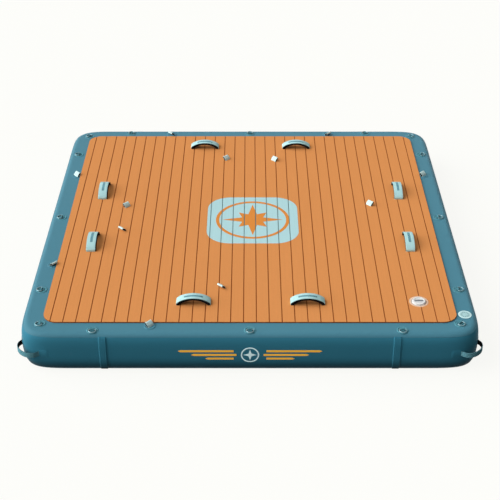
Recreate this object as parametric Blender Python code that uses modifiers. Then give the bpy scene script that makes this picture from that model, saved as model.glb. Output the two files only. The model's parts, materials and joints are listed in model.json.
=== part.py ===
"""Square inflatable dock platform, modelled piece by piece in metres with +Z up.

The dock lies on its bottom skin. The origin is the centre of that face, and the front side faces -Y.
A drop stitch core holds the two skins apart, a side wall in four lengths closes the rim, and the deck
carries a grooved foam pad, webbing handles, tabs, steel rings and an inflation valve.
"""

import math

import bmesh
import bpy
from mathutils import Matrix, Vector

# Hull
HULL_SIDE = 2.132
HULL_THICKNESS = 0.203
PLAN_RADIUS = 0.300
PLAN_POWER = 5.0
EDGE_DEPTH = 0.045
TOP_EDGE_POWER = 3.2
BOTTOM_EDGE_POWER = 2.8
SKIN_THICKNESS = 0.0012
GAP = 0.0003
SEAM_ANGLE = math.radians(56.0)
SEAM_GAP_ANGLE = math.radians(0.5)
SKIN_DEGREES = (90.0, 82.0, 74.0, 66.0)
WALL_DEGREES = (44.0, 32.0, 18.0, 0.0, -18.0, -32.0, -44.0)
CORNER_STEPS = 8

# Drop stitch core
CORE_FABRIC = 0.0008
YARN_SPACING = 0.256
YARN_WIDTH = 0.007

# Side wall splices
SPLICE_ALONG_SHARE = 0.63
SPLICE_WIDTH = 0.0375
SPLICE_THICKNESS = 0.0012
SPLICE_ANGLE = math.radians(54.0)
WALL_JOINT_GAP = 0.0004

# Deck pad
RIM_WIDTH = 0.106
PAD_THICKNESS = 0.0060
PAD_RADIUS = 0.070
PLANK_SPACING = 0.0595
GROOVE_WIDTH = 0.0045
GROOVE_DEPTH = 0.0023

# Panel let into the middle of the pad
PANEL_SIDE = 0.480
PANEL_RADIUS = 0.123
PANEL_X = 0.014
PANEL_Y = -0.032

# Grab handles
END_HANDLE_LENGTH = 0.163
SIDE_HANDLE_LENGTH = 0.174
HANDLE_WIDTH = 0.047
HANDLE_RISE = 0.0386
HANDLE_STRAP = 0.0085
HANDLE_TOE = 0.014
HANDLE_TOE_THICKNESS = 0.0019
HANDLE_ALONG = 0.269
HANDLE_INSET = 0.1515
HANDLE_SHIFT_X = 0.0030
HANDLE_SHIFT_Y = 0.0045
ARCH_STEPS = 12
ARCH_POWER = 0.75

# Corner carry handles
CARRY_HEIGHT = 0.027
CARRY_STRAP = 0.0045
CARRY_STANDOFF = 0.034
CARRY_FOOT_START = math.radians(29.5)
CARRY_FOOT_END = math.radians(35.0)
CARRY_STEPS = 14
CARRY_FOOT_STEPS = 3
CARRY_POWER = 3.0
CARRY_SHOULDER = 0.5

# Steel rings and their webbing bases
RING_WIRE_RADIUS = 0.0025
RING_WIDTH = 0.0325
RING_DEPTH = 0.0235
RING_LIFT = 0.0006
RING_FRONT_INSET = 0.049
RING_REAR_INSET = 0.062
RING_SIDE_INSET = 0.065
RING_CORNER_INSET = 0.100
RING_LEFT_SHARE = -0.675
RING_RIGHT_SHARE = 0.6535
RING_NEAR_SHARE = -0.645
RING_FAR_SHARE = 0.6835
RING_BEND = 0.0035
RING_ARC_STEPS = 8
PATCH_RADIUS = 0.0280
PATCH_THICKNESS = 0.0014
PATCH_SINK = 0.0009
PATCH_SIDES = 16
LOOP_WIDTH = 0.0190
LOOP_STRAP = 0.0014
LOOP_CLEARANCE = 0.0005
LOOP_FOOT = 0.0120
LOOP_SINK = 0.0002
LOOP_STEPS = 4

# Webbing tabs
TAB_WIDTH = 0.035
TAB_HEIGHT = 0.023
TAB_THICKNESS = 0.0080
TAB_FOOT = 0.0094
TAB_FOOT_THICKNESS = 0.0018
TAB_LEAN = math.radians(40.0)
DECK_TAB_SHARE = {
    "rear_left": (-0.140, 0.685),
    "rear_right": (0.146, 0.671),
    "left_rear": (-0.691, 0.112),
    "left_front": (-0.691, -0.144),
    "right_rear": (0.673, 0.131),
    "front_left": (-0.141, -0.702),
}
RIM_TAB_SHARE = {
    "rear_left": (-0.444, 0.932),
    "rear_right": (0.440, 0.929),
    "left_rear": (-0.9205, 0.439),
    "left_front": (-0.9175, -0.437),
    "right_rear": (0.921, 0.442),
    "front_left": (-0.431, -0.9225),
}
TAB_LEANS = {
    "deck_tab_rear_left": (-1, 1),
    "deck_tab_rear_right": (1, 1),
    "deck_tab_left_rear": (-1, 1),
    "deck_tab_left_front": (-1, -1),
    "deck_tab_right_rear": (1, 1),
    "deck_tab_front_left": (-1, -1),
    "rim_tab_rear_left": (-1, -1),
    "rim_tab_rear_right": (1, -1),
    "rim_tab_left_rear": (1, 1),
    "rim_tab_left_front": (1, -1),
    "rim_tab_right_rear": (-1, 1),
    "rim_tab_front_left": (-1, 1),
}

# Inflation valve
VALVE_SIDE_INSET = 0.163
VALVE_FRONT_INSET = 0.1650
FLANGE_RADIUS = 0.0334
FLANGE_TOP = 0.0072
TUBE_RADIUS = 0.0240
BORE_RADIUS = 0.0211
BODY_DEPTH = 0.0375
SEAT_THICKNESS = 0.0035
GUIDE_RADIUS = 0.0042
FLOW_HOLE_RADIUS = 0.0047
FLOW_HOLE_PITCH_RADIUS = 0.0129
FLOW_HOLES = 4
STEM_RADIUS = 0.0035
BUTTON_RADIUS = 0.0076
BUTTON_TOP = -0.0060
BUTTON_THICKNESS = 0.0035
SEAL_RADIUS = 0.0193
SEAL_THICKNESS = 0.0035
SPRING_RADIUS = 0.0059
SPRING_WIRE_RADIUS = 0.0006
SPRING_TURNS = 6
SPRING_POINTS = 8
NUT_RADIUS = 0.0328
NUT_HEIGHT = 0.0060
CAP_RADIUS = 0.0307
CAP_THICKNESS = 0.0047
CAP_DISH_RADIUS = 0.0234
CAP_DISH_DEPTH = 0.0021
CAP_PLUG_CLEARANCE = 0.0005
CAP_PLUG_WALL = 0.0023
CAP_PLUG_DEPTH = 0.0105
CAP_BAR_LENGTH = 0.0421
CAP_BAR_WIDTH = 0.0094
CAP_BAR_RISE = 0.0042
CAP_BAR_SINK = 0.0010
VALVE_HOLE_CLEARANCE = 0.0005
PAD_HOLE_CLEARANCE = 0.0018
PAD_RECESS_RADIUS = 0.0462
PAD_RECESS_DEPTH = 0.0014
TURN_STEPS = 24

# Round data disc on the rim
DISC_RADIUS = 0.0310
DISC_THICKNESS = 0.0007
DISC_SIDE_INSET = 0.066
DISC_FRONT_INSET = 0.172

CUT_OVERRUN = 0.004
MERGE_DISTANCE = 0.00001
SHARP_ANGLE = math.radians(35.0)
UPRIGHT = math.pi / 2

HALF_SIDE = HULL_SIDE / 2
FLAT_HALF = HALF_SIDE - EDGE_DEPTH
MIDDLE_Z = HULL_THICKNESS / 2
DECK_Z = HULL_THICKNESS
PAD_TOP = DECK_Z + GAP + PAD_THICKNESS
PAD_HALF = HALF_SIDE - RIM_WIDTH
SPLICE_X = SPLICE_ALONG_SHARE * HALF_SIDE
VALVE_X = PAD_HALF - VALVE_SIDE_INSET
VALVE_Y = VALVE_FRONT_INSET - PAD_HALF
DISC_X = HALF_SIDE - DISC_SIDE_INSET
DISC_Y = DISC_FRONT_INSET - HALF_SIDE

FINISHES = {
    "coated_teal": ((0.085, 0.235, 0.315), 0.42, 0.0),
    "woven_core": ((0.70, 0.72, 0.72), 0.85, 0.0),
    "deck_foam": ((0.66, 0.29, 0.095), 0.80, 0.0),
    "panel_foam": ((0.43, 0.69, 0.73), 0.80, 0.0),
    "handle_webbing": ((0.47, 0.80, 0.81), 0.75, 0.0),
    "carry_webbing": ((0.03, 0.11, 0.14), 0.75, 0.0),
    "tab_webbing": ((0.80, 0.88, 0.87), 0.70, 0.0),
    "ring_steel": ((0.62, 0.64, 0.65), 0.25, 1.0),
    "valve_plastic": ((0.80, 0.81, 0.82), 0.40, 0.0),
    "valve_inner": ((0.30, 0.32, 0.34), 0.50, 0.0),
    "spring_steel": ((0.55, 0.56, 0.58), 0.30, 1.0),
}


def clear_scene():
    for item in list(bpy.data.objects):
        bpy.data.objects.remove(item)


def new_collection(name):
    made = bpy.data.collections.new(name)
    bpy.context.scene.collection.children.link(made)
    return made


def finish(name):
    """The material of a finish, made the first time that it is asked for."""
    made = bpy.data.materials.get(name)
    if made is None:
        colour, roughness, metallic = FINISHES[name]
        made = bpy.data.materials.new(name)
        made.use_nodes = True
        shader = made.node_tree.nodes["Principled BSDF"]
        shader.inputs["Base Color"].default_value = (*colour, 1.0)
        shader.inputs["Roughness"].default_value = roughness
        shader.inputs["Metallic"].default_value = metallic
    return made


def mesh_from(builder, name, rounded=False):
    """A mesh data block from a filled bmesh; a round piece is shaded smooth between its sharp edges."""
    mesh = bpy.data.meshes.new(name)
    builder.to_mesh(mesh)
    builder.free()
    if rounded:
        mesh.shade_smooth()
        mesh.set_sharp_from_angle(angle=SHARP_ANGLE)
    return mesh


def place(name, data, finish_name, location=(0.0, 0.0, 0.0), turn=0.0, tilt=0.0):
    """One sub-part as an object, tilted about its own X, turned about +Z and put in its place."""
    made = bpy.data.objects.new(name, data)
    if not data.materials:
        data.materials.append(finish(finish_name))
    made.location = location
    made.rotation_euler = (tilt, 0.0, turn)
    PARTS.objects.link(made)
    return made


def guide(name, mesh, location=(0.0, 0.0, 0.0), turn=0.0):
    """A cutter, or a shape that joins a sub-part."""
    made = bpy.data.objects.new(name, mesh)
    made.location = location
    made.rotation_euler = (0.0, 0.0, turn)
    made.hide_render = True
    made.display_type = "WIRE"
    CUTTERS.objects.link(made)
    return made


def boolean(target, other, operation):
    step = target.modifiers.new(f"{operation.lower()} {other.name}", "BOOLEAN")
    step.operation = operation
    step.object = other
    step.solver = "EXACT"


def solidify(target, thickness, offset):
    step = target.modifiers.new("wall", "SOLIDIFY")
    step.thickness = thickness
    step.offset = offset
    step.use_even_offset = True
    return step


def rounded_square(half, radius, z, power=2.0, steps=CORNER_STEPS):
    """Points of a square with rounded corners about the Z axis, anticlockwise seen from above.

    The power is 2 for a circular corner, and more for a squarer one.
    """
    centre = half - radius
    points = []
    for corner in range(4):
        for step in range(steps + 1):
            angle = step / steps * math.pi / 2
            across = centre + radius * max(math.cos(angle), 0.0) ** (2 / power)
            ahead = centre + radius * math.sin(angle) ** (2 / power)
            point = Vector((across, ahead, z))
            point.rotate(Matrix.Rotation(corner * math.pi / 2, 3, "Z"))
            points.append(point)
    return points


def edge_point(angle, inset=0.0):
    """A point of the rim's rounded section: distance past the flat, and height.

    The angle is a quarter turn at the deck, zero at the widest line and minus a quarter turn below.
    """
    power = TOP_EDGE_POWER if angle > 0 else BOTTOM_EDGE_POWER
    out = (EDGE_DEPTH - inset) * max(math.cos(angle), 0.0) ** (2 / power)
    rise = (MIDDLE_Z - inset) * abs(math.sin(angle)) ** (2 / power)
    return out, MIDDLE_Z + math.copysign(rise, angle)


def rim_ring(angle, inset=0.0):
    out, z = edge_point(angle, inset)
    return rounded_square(FLAT_HALF + out, PLAN_RADIUS - EDGE_DEPTH + out, z, PLAN_POWER)


def skin_angles(last):
    """Section angles of a skin from its flat to its seam."""
    return [math.radians(value) for value in SKIN_DEGREES] + [last]


def loft(rings, capped):
    """An open surface through closed rings; the first ring may be filled."""
    builder = bmesh.new()
    loops = []
    for ring in rings:
        verts = [builder.verts.new(point) for point in ring]
        loops.append([builder.edges.new(pair) for pair in zip(verts, verts[1:] + verts[:1])])
    for inner, outer in zip(loops, loops[1:]):
        bmesh.ops.bridge_loops(builder, edges=inner + outer)
    if capped:
        bmesh.ops.contextual_create(builder, geom=loops[0])
    bmesh.ops.recalc_face_normals(builder, faces=builder.faces)
    return builder


def face_towards(builder, direction_of):
    """Turn the whole surface over if most of it faces away from direction_of(face centre)."""
    builder.normal_update()
    total = sum(
        face.normal.dot(direction_of(face.calc_center_median())) * face.calc_area()
        for face in builder.faces
    )
    if total < 0:
        bmesh.ops.reverse_faces(builder, faces=builder.faces)


def flat_curve(name, outline, thickness):
    """A closed outline in XY as a filled curve, half its thickness either way."""
    curve = bpy.data.curves.new(name, "CURVE")
    curve.dimensions = "2D"
    curve.fill_mode = "BOTH"
    curve.extrude = thickness / 2
    line = curve.splines.new("POLY")
    line.points.add(len(outline) - 1)
    for point, (x, y) in zip(line.points, outline):
        point.co = (x, y, 0.0, 1.0)
    line.use_cyclic_u = True
    return curve


def curve_mesh(curve):
    """The welded mesh of a curve, for a piece that is cut or joined."""
    carrier = bpy.data.objects.new(curve.name, curve)
    CUTTERS.objects.link(carrier)
    reader = bpy.context.evaluated_depsgraph_get()
    mesh = bpy.data.meshes.new_from_object(carrier.evaluated_get(reader))
    bpy.data.objects.remove(carrier)
    builder = bmesh.new()
    builder.from_mesh(mesh)
    bmesh.ops.remove_doubles(builder, verts=builder.verts, dist=MERGE_DISTANCE)
    bmesh.ops.recalc_face_normals(builder, faces=builder.faces)
    builder.to_mesh(mesh)
    builder.free()
    return mesh


def plate(name, outline, thickness):
    return curve_mesh(flat_curve(name, outline, thickness))


def box(builder, size, centre):
    scaling = Matrix.Diagonal((*size, 1.0))
    bmesh.ops.create_cube(builder, size=1.0, matrix=Matrix.Translation(centre) @ scaling)


def cylinder(builder, radius, low, high, sides, centre=(0.0, 0.0)):
    bmesh.ops.create_cone(
        builder,
        cap_ends=True,
        segments=sides,
        radius1=radius,
        radius2=radius,
        depth=high - low,
        matrix=Matrix.Translation((*centre, (low + high) / 2)),
    )


def turned(name, profile, finish_name, location, closed):
    """A turned piece: its half section at +X, run down the outer side, and a Screw modifier."""
    builder = bmesh.new()
    verts = [builder.verts.new((radius, 0.0, z)) for radius, z in profile]
    pairs = list(zip(verts, verts[1:]))
    if closed:
        pairs.append((verts[-1], verts[0]))
    for pair in pairs:
        builder.edges.new(pair)
    made = place(name, mesh_from(builder, name, True), finish_name, location)
    spin = made.modifiers.new("turn", "SCREW")
    spin.steps = TURN_STEPS
    spin.render_steps = TURN_STEPS
    spin.use_merge_vertices = True
    spin.merge_threshold = MERGE_DISTANCE
    return made


def headings():
    """Side names with the turn about +Z that points a piece's own +Y outwards there."""
    return (("front", math.pi), ("right", -math.pi / 2), ("rear", 0.0), ("left", math.pi / 2))


def turn_point(x, y, turn):
    return Vector((x, y, 0.0)) @ Matrix.Rotation(-turn, 3, "Z")


def ring_places():
    """Name, X, Y and outward turn of each steel ring."""
    left, right = RING_LEFT_SHARE * HALF_SIDE, RING_RIGHT_SHARE * HALF_SIDE
    near, far = RING_NEAR_SHARE * HALF_SIDE, RING_FAR_SHARE * HALF_SIDE
    front, rear = RING_FRONT_INSET - HALF_SIDE, HALF_SIDE - RING_REAR_INSET
    side, corner = HALF_SIDE - RING_SIDE_INSET, HALF_SIDE - RING_CORNER_INSET
    rows = {
        "front": ((right, front), (0.0, front), (left, front)),
        "right": ((side, far), (side, 0.0), (side, near)),
        "rear": ((left, rear), (0.0, rear), (right, rear)),
        "left": ((-side, near), (-side, 0.0), (-side, far)),
    }
    places = []
    for name, turn in headings():
        for word, (x, y) in zip("abc", rows[name]):
            places.append((f"{name}_{word}", x, y, turn))
    for name, turn in headings():
        spot = turn_point(corner, corner, turn)
        places.append((f"corner_after_{name}", spot.x, spot.y, turn - math.pi / 4))
    return places


def build_core():
    """Two woven faces tied by yarn columns, which hold them apart against the air."""
    inset = SKIN_THICKNESS + GAP
    angles = skin_angles(SEAM_ANGLE)
    faces = []
    for word, sign in (("upper", 1), ("lower", -1)):
        builder = loft([rim_ring(sign * angle, inset) for angle in angles], True)
        face_towards(builder, lambda _, up=sign: Vector((0.0, 0.0, up)))
        faces.append(mesh_from(builder, f"core_{word}_face", True))
    core = place("drop_stitch_core", faces[0], "woven_core")
    solidify(core, CORE_FABRIC, -1.0)
    lower = guide("core_lower_face", faces[1])
    solidify(lower, CORE_FABRIC, -1.0)
    builder = bmesh.new()
    reach = HULL_THICKNESS - 2 * inset - CORE_FABRIC
    count = int(HULL_SIDE / YARN_SPACING)
    line = [(index - (count - 1) / 2) * YARN_SPACING for index in range(count)]
    for x in line:
        for y in line:
            spot = (x, y, MIDDLE_Z)
            box(builder, (YARN_WIDTH, YARN_WIDTH, reach), spot)
    yarns = guide("core_yarns", mesh_from(builder, "core_yarns"))
    boolean(core, yarns, "UNION")
    boolean(core, lower, "UNION")
    boolean(core, valve_hole("core_valve_hole"), "DIFFERENCE")


def valve_hole(name):
    builder = bmesh.new()
    low = DECK_Z - MIDDLE_Z / 2
    cylinder(builder, TUBE_RADIUS + VALVE_HOLE_CLEARANCE, low, DECK_Z + CUT_OVERRUN, TURN_STEPS)
    return guide(name, mesh_from(builder, name), (VALVE_X, VALVE_Y, 0.0))


def base_loop_outline():
    """Section of the webbing loop over a ring's straight bar: X outwards, Y up."""
    bar = PATCH_THICKNESS + RING_LIFT + RING_WIRE_RADIUS
    inner = RING_WIRE_RADIUS + LOOP_CLEARANCE
    outer = inner + LOOP_STRAP
    low = PATCH_THICKNESS - LOOP_SINK
    foot_top = PATCH_THICKNESS + LOOP_STRAP
    turns = [math.pi * step / LOOP_STEPS for step in range(LOOP_STEPS + 1)]
    over = [(-outer * math.cos(turn), bar + outer * math.sin(turn)) for turn in turns]
    under = [(inner * math.cos(turn), bar + inner * math.sin(turn)) for turn in turns]
    left_foot = [(-inner, low), (-LOOP_FOOT, low), (-LOOP_FOOT, foot_top), (-outer, foot_top)]
    right_foot = [(outer, foot_top), (LOOP_FOOT, foot_top), (LOOP_FOOT, low), (inner, low)]
    return left_foot + over + right_foot + under


def build_top_skin():
    """The upper skin, with the sixteen ring bases welded to it."""
    builder = loft([rim_ring(angle) for angle in skin_angles(SEAM_ANGLE + SEAM_GAP_ANGLE)], True)
    face_towards(builder, lambda _: Vector((0.0, 0.0, 1.0)))
    skin = place("top_skin", mesh_from(builder, "top_skin", True), "coated_teal")
    solidify(skin, SKIN_THICKNESS, -1.0)
    loop = plate("ring_loop", base_loop_outline(), LOOP_WIDTH)
    section_up = Matrix(((0, 0, 1, 0), (1, 0, 0, 0), (0, 1, 0, 0), (0, 0, 0, 1)))
    patches = bmesh.new()
    loops = bmesh.new()
    for _, x, y, turn in ring_places():
        cylinder(patches, PATCH_RADIUS, DECK_Z - PATCH_SINK, DECK_Z + PATCH_THICKNESS, PATCH_SIDES, (x, y))
        placing = Matrix.Translation((x, y, DECK_Z)) @ Matrix.Rotation(turn, 4, "Z") @ section_up
        earlier = len(loops.verts)
        loops.from_mesh(loop)
        bmesh.ops.transform(loops, matrix=placing, verts=loops.verts[earlier:])
    boolean(skin, guide("ring_patches", mesh_from(patches, "ring_patches")), "UNION")
    boolean(skin, guide("ring_loops", mesh_from(loops, "ring_loops")), "UNION")
    boolean(skin, valve_hole("skin_valve_hole"), "DIFFERENCE")


def build_bottom_skin():
    builder = loft([rim_ring(-angle) for angle in skin_angles(SEAM_ANGLE + SEAM_GAP_ANGLE)], True)
    face_towards(builder, lambda _: Vector((0.0, 0.0, -1.0)))
    skin = place("bottom_skin", mesh_from(builder, "bottom_skin", True), "coated_teal")
    solidify(skin, SKIN_THICKNESS, -1.0)


def wall_angles(limit):
    """Section angles from the upper seam to the lower one, none past the limit."""
    inner = [math.radians(value) for value in WALL_DEGREES]
    return [limit] + [angle for angle in inner if abs(angle) < limit] + [-limit]


def cut_away(builder, point, normal):
    """Remove what lies past a plane, on the side that its normal points to."""
    every = builder.verts[:] + builder.edges[:] + builder.faces[:]
    bmesh.ops.bisect_plane(builder, geom=every, plane_co=point, plane_no=normal, clear_outer=True)


def build_walls():
    """The side wall in four lengths, which meet under the splices."""
    near = SPLICE_X - WALL_JOINT_GAP / 2
    far = SPLICE_X + WALL_JOINT_GAP / 2
    middle_lengths = (((near, 0, 0), (1, 0, 0)), ((-near, 0, 0), (-1, 0, 0)))
    cuts = {
        "front": (*middle_lengths, ((0, 0, 0), (0, 1, 0))),
        "rear": (*middle_lengths, ((0, 0, 0), (0, -1, 0))),
        "left": (((-far, 0, 0), (1, 0, 0)),),
        "right": (((far, 0, 0), (-1, 0, 0)),),
    }
    for side, planes in cuts.items():
        builder = loft([rim_ring(angle) for angle in wall_angles(SEAM_ANGLE)], False)
        for point, normal in planes:
            cut_away(builder, point, normal)
        face_towards(builder, lambda centre: Vector((centre.x, centre.y, 0.0)))
        wall = place(f"side_wall_{side}", mesh_from(builder, f"side_wall_{side}", True), "coated_teal")
        solidify(wall, SKIN_THICKNESS, -1.0)


def build_splices():
    """Cover strips over the joints of the side wall, in the shape of the rim's section."""
    builder = bmesh.new()
    section = [edge_point(angle, -GAP) for angle in wall_angles(SPLICE_ANGLE)]
    verts = [builder.verts.new((-SPLICE_WIDTH / 2, FLAT_HALF + out, z)) for out, z in section]
    edges = [builder.edges.new(pair) for pair in zip(verts, verts[1:])]
    grown = bmesh.ops.extrude_edge_only(builder, edges=edges)["geom"]
    moved = [item for item in grown if isinstance(item, bmesh.types.BMVert)]
    bmesh.ops.translate(builder, verts=moved, vec=(SPLICE_WIDTH, 0.0, 0.0))
    face_towards(builder, lambda _: Vector((0.0, 1.0, 0.0)))
    mesh = mesh_from(builder, "splice_strip", True)
    for side, turn in (("front", math.pi), ("rear", 0.0)):
        for word, x in (("left", -SPLICE_X), ("right", SPLICE_X)):
            strip = place(f"splice_{side}_{word}", mesh, "coated_teal", (x, 0.0, 0.0), turn)
            solidify(strip, SPLICE_THICKNESS, 1.0)


def groove_cutter(name):
    """Bars that cut every groove of the deck at once."""
    builder = bmesh.new()
    height = GROOVE_DEPTH + CUT_OVERRUN
    each_side = round((PAD_HALF - GROOVE_WIDTH) / PLANK_SPACING)
    for index in range(each_side):
        for sign in (-1, 1):
            x = sign * (index + 0.5) * PLANK_SPACING
            size = (GROOVE_WIDTH, 2 * (PAD_HALF + CUT_OVERRUN), height)
            box(builder, size, (x, 0.0, PAD_TOP - GROOVE_DEPTH + height / 2))
    return guide(name, mesh_from(builder, name))


def panel_outline(side, radius):
    return [(p.x + PANEL_X, p.y + PANEL_Y) for p in rounded_square(side / 2, radius, 0.0)]


def build_deck():
    """The grooved foam pad and the pale panel let into it."""
    low = DECK_Z + GAP
    middle = (0.0, 0.0, (low + PAD_TOP) / 2)
    outline = [(p.x, p.y) for p in rounded_square(PAD_HALF, PAD_RADIUS, 0.0)]
    pad = place("deck_pad", plate("deck_pad", outline, PAD_THICKNESS), "deck_foam", middle)
    through = PAD_THICKNESS + 2 * CUT_OVERRUN
    window = plate("panel_window", panel_outline(PANEL_SIDE, PANEL_RADIUS), through)
    boolean(pad, guide("panel_window", window, middle), "DIFFERENCE")
    for name, radius, floor in (
        ("pad_valve_recess", PAD_RECESS_RADIUS, PAD_TOP - PAD_RECESS_DEPTH),
        ("pad_valve_hole", FLANGE_RADIUS + PAD_HOLE_CLEARANCE, low - CUT_OVERRUN),
    ):
        builder = bmesh.new()
        cylinder(builder, radius, floor, PAD_TOP + CUT_OVERRUN, TURN_STEPS)
        boolean(pad, guide(name, mesh_from(builder, name), (VALVE_X, VALVE_Y, 0.0)), "DIFFERENCE")
    boolean(pad, groove_cutter("pad_grooves"), "DIFFERENCE")
    inner = plate("centre_panel", panel_outline(PANEL_SIDE - 2 * GAP, PANEL_RADIUS - GAP), PAD_THICKNESS)
    panel = place("centre_panel", inner, "panel_foam", middle)
    boolean(panel, groove_cutter("panel_grooves"), "DIFFERENCE")


def arch(half, rise, steps):
    """Half-round arch from -half to +half, with shoulders set by the arch power."""
    points = []
    for step in range(steps + 1):
        share = -math.cos(math.pi * step / steps)
        points.append((half * share, rise * max(1 - share * share, 0.0) ** ARCH_POWER))
    return points


def grab_handle_strap(name, length):
    """A grab handle's arch with its two toes, lying on its side."""
    half = length / 2
    under = half - HANDLE_STRAP
    toe_end = under - HANDLE_TOE
    inner = [p for p in arch(under, HANDLE_RISE - HANDLE_STRAP, ARCH_STEPS) if p[1] > HANDLE_TOE_THICKNESS]
    right_toe = [(toe_end, 0.0), (toe_end, HANDLE_TOE_THICKNESS), (under, HANDLE_TOE_THICKNESS)]
    left_toe = [(-under, HANDLE_TOE_THICKNESS), (-toe_end, HANDLE_TOE_THICKNESS), (-toe_end, 0.0)]
    outline = arch(half, HANDLE_RISE, ARCH_STEPS) + right_toe + inner[::-1] + left_toe
    return flat_curve(name, outline, HANDLE_WIDTH)


def build_handles():
    """Eight webbing grab handles, bowed up from toes that are glued under the arch."""
    end_strap = grab_handle_strap("end_grab_handle", END_HANDLE_LENGTH)
    side_strap = grab_handle_strap("side_grab_handle", SIDE_HANDLE_LENGTH)
    shift = Vector((HANDLE_SHIFT_X, HANDLE_SHIFT_Y, PAD_TOP + GAP))
    for side, turn in headings():
        strap = end_strap if side in ("front", "rear") else side_strap
        for word, along in (("a", -HANDLE_ALONG), ("b", HANDLE_ALONG)):
            spot = turn_point(along, PAD_HALF - HANDLE_INSET, turn) + shift
            place(f"grab_handle_{side}_{word}", strap, "handle_webbing", spot, turn, UPRIGHT)


def carry_radius(angle):
    """Distance of the strap's inner face from the corner's centre."""
    middle = math.pi / 4
    share = min(abs(angle - middle) / (middle - CARRY_FOOT_END), 1.0)
    bow = (1 - share**CARRY_POWER) ** CARRY_SHOULDER
    spread = abs(math.cos(angle)) ** PLAN_POWER + abs(math.sin(angle)) ** PLAN_POWER
    hull = PLAN_RADIUS / spread ** (1 / PLAN_POWER)
    return hull + GAP + (CARRY_STANDOFF - CARRY_STRAP) * bow


def build_carry_handles():
    """A webbing strap round each corner of the hull, flat at both ends and bowed between them."""
    centre = HALF_SIDE - PLAN_RADIUS
    foot_step = (CARRY_FOOT_END - CARRY_FOOT_START) / CARRY_FOOT_STEPS
    foot = [CARRY_FOOT_START + foot_step * step for step in range(CARRY_FOOT_STEPS)]
    span = math.pi / 2 - 2 * CARRY_FOOT_END
    angles = foot + [CARRY_FOOT_END + span * step / CARRY_STEPS for step in range(CARRY_STEPS + 1)]
    angles += [math.pi / 2 - angle for angle in foot[::-1]]
    outer = [(carry_radius(angle) + CARRY_STRAP, angle) for angle in angles]
    inner = [(carry_radius(angle), angle) for angle in angles[::-1]]
    polar = outer + inner
    outline = [(centre + r * math.cos(angle), centre + r * math.sin(angle)) for r, angle in polar]
    strap = flat_curve("carry_handle", outline, CARRY_HEIGHT)
    corners = (("rear_right", 0), ("rear_left", 1), ("front_left", 2), ("front_right", 3))
    for word, quarter in corners:
        turn = quarter * math.pi / 2
        place(f"carry_handle_{word}", strap, "carry_webbing", (0.0, 0.0, MIDDLE_Z), turn)


def ring_path():
    """Centre line of a ring: the straight bar on the X axis and a round bow towards +Y."""
    half = RING_WIDTH / 2
    bow_y = RING_DEPTH - half
    points = [(-half, RING_BEND), (-half + RING_BEND, 0.0), (half - RING_BEND, 0.0), (half, RING_BEND)]
    for step in range(RING_ARC_STEPS + 1):
        turn = math.pi * step / RING_ARC_STEPS
        points.append((half * math.cos(turn), bow_y + half * math.sin(turn)))
    return points


def build_rings():
    """Sixteen steel rings that lie outwards on their bases and turn on their straight bars."""
    wire = bpy.data.curves.new("ring_wire", "CURVE")
    wire.dimensions = "3D"
    wire.bevel_depth = RING_WIRE_RADIUS
    wire.bevel_resolution = 1
    path = ring_path()
    line = wire.splines.new("POLY")
    line.points.add(len(path) - 1)
    for point, (x, y) in zip(line.points, path):
        point.co = (x, y, 0.0, 1.0)
    line.use_cyclic_u = True
    z = DECK_Z + PATCH_THICKNESS + RING_LIFT + RING_WIRE_RADIUS
    for word, x, y, turn in ring_places():
        place(f"d_ring_{word}", wire, "ring_steel", (x, y, z), turn)


def tab_places():
    """Name, place and turn of each tab, whose blade leans towards the turn's direction."""
    places = []
    for kind, shares, half, z in (
        ("deck", DECK_TAB_SHARE, PAD_HALF, PAD_TOP + GAP),
        ("rim", RIM_TAB_SHARE, HALF_SIDE, DECK_Z + GAP),
    ):
        for word, (x, y) in shares.items():
            name = f"{kind}_tab_{word}"
            across, ahead = TAB_LEANS[name]
            places.append((name, (x * half, y * half, z), math.atan2(ahead, across)))
    return places


def build_tabs():
    """Small webbing tabs: a glued foot and a stitched blade that leans back from it."""
    rise = (TAB_HEIGHT * math.cos(TAB_LEAN), TAB_HEIGHT * math.sin(TAB_LEAN))
    across = (-TAB_THICKNESS * math.sin(TAB_LEAN), TAB_THICKNESS * math.cos(TAB_LEAN))
    outline = [
        (0.0, 0.0),
        (rise[0], rise[1]),
        (rise[0] + across[0], rise[1] + across[1]),
        (across[0], across[1]),
        (-TAB_FOOT, TAB_FOOT_THICKNESS),
        (-TAB_FOOT, 0.0),
    ]
    folded = flat_curve("webbing_tab", outline, TAB_WIDTH)
    for name, spot, turn in tab_places():
        place(name, folded, "tab_webbing", spot, turn, UPRIGHT)


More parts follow.
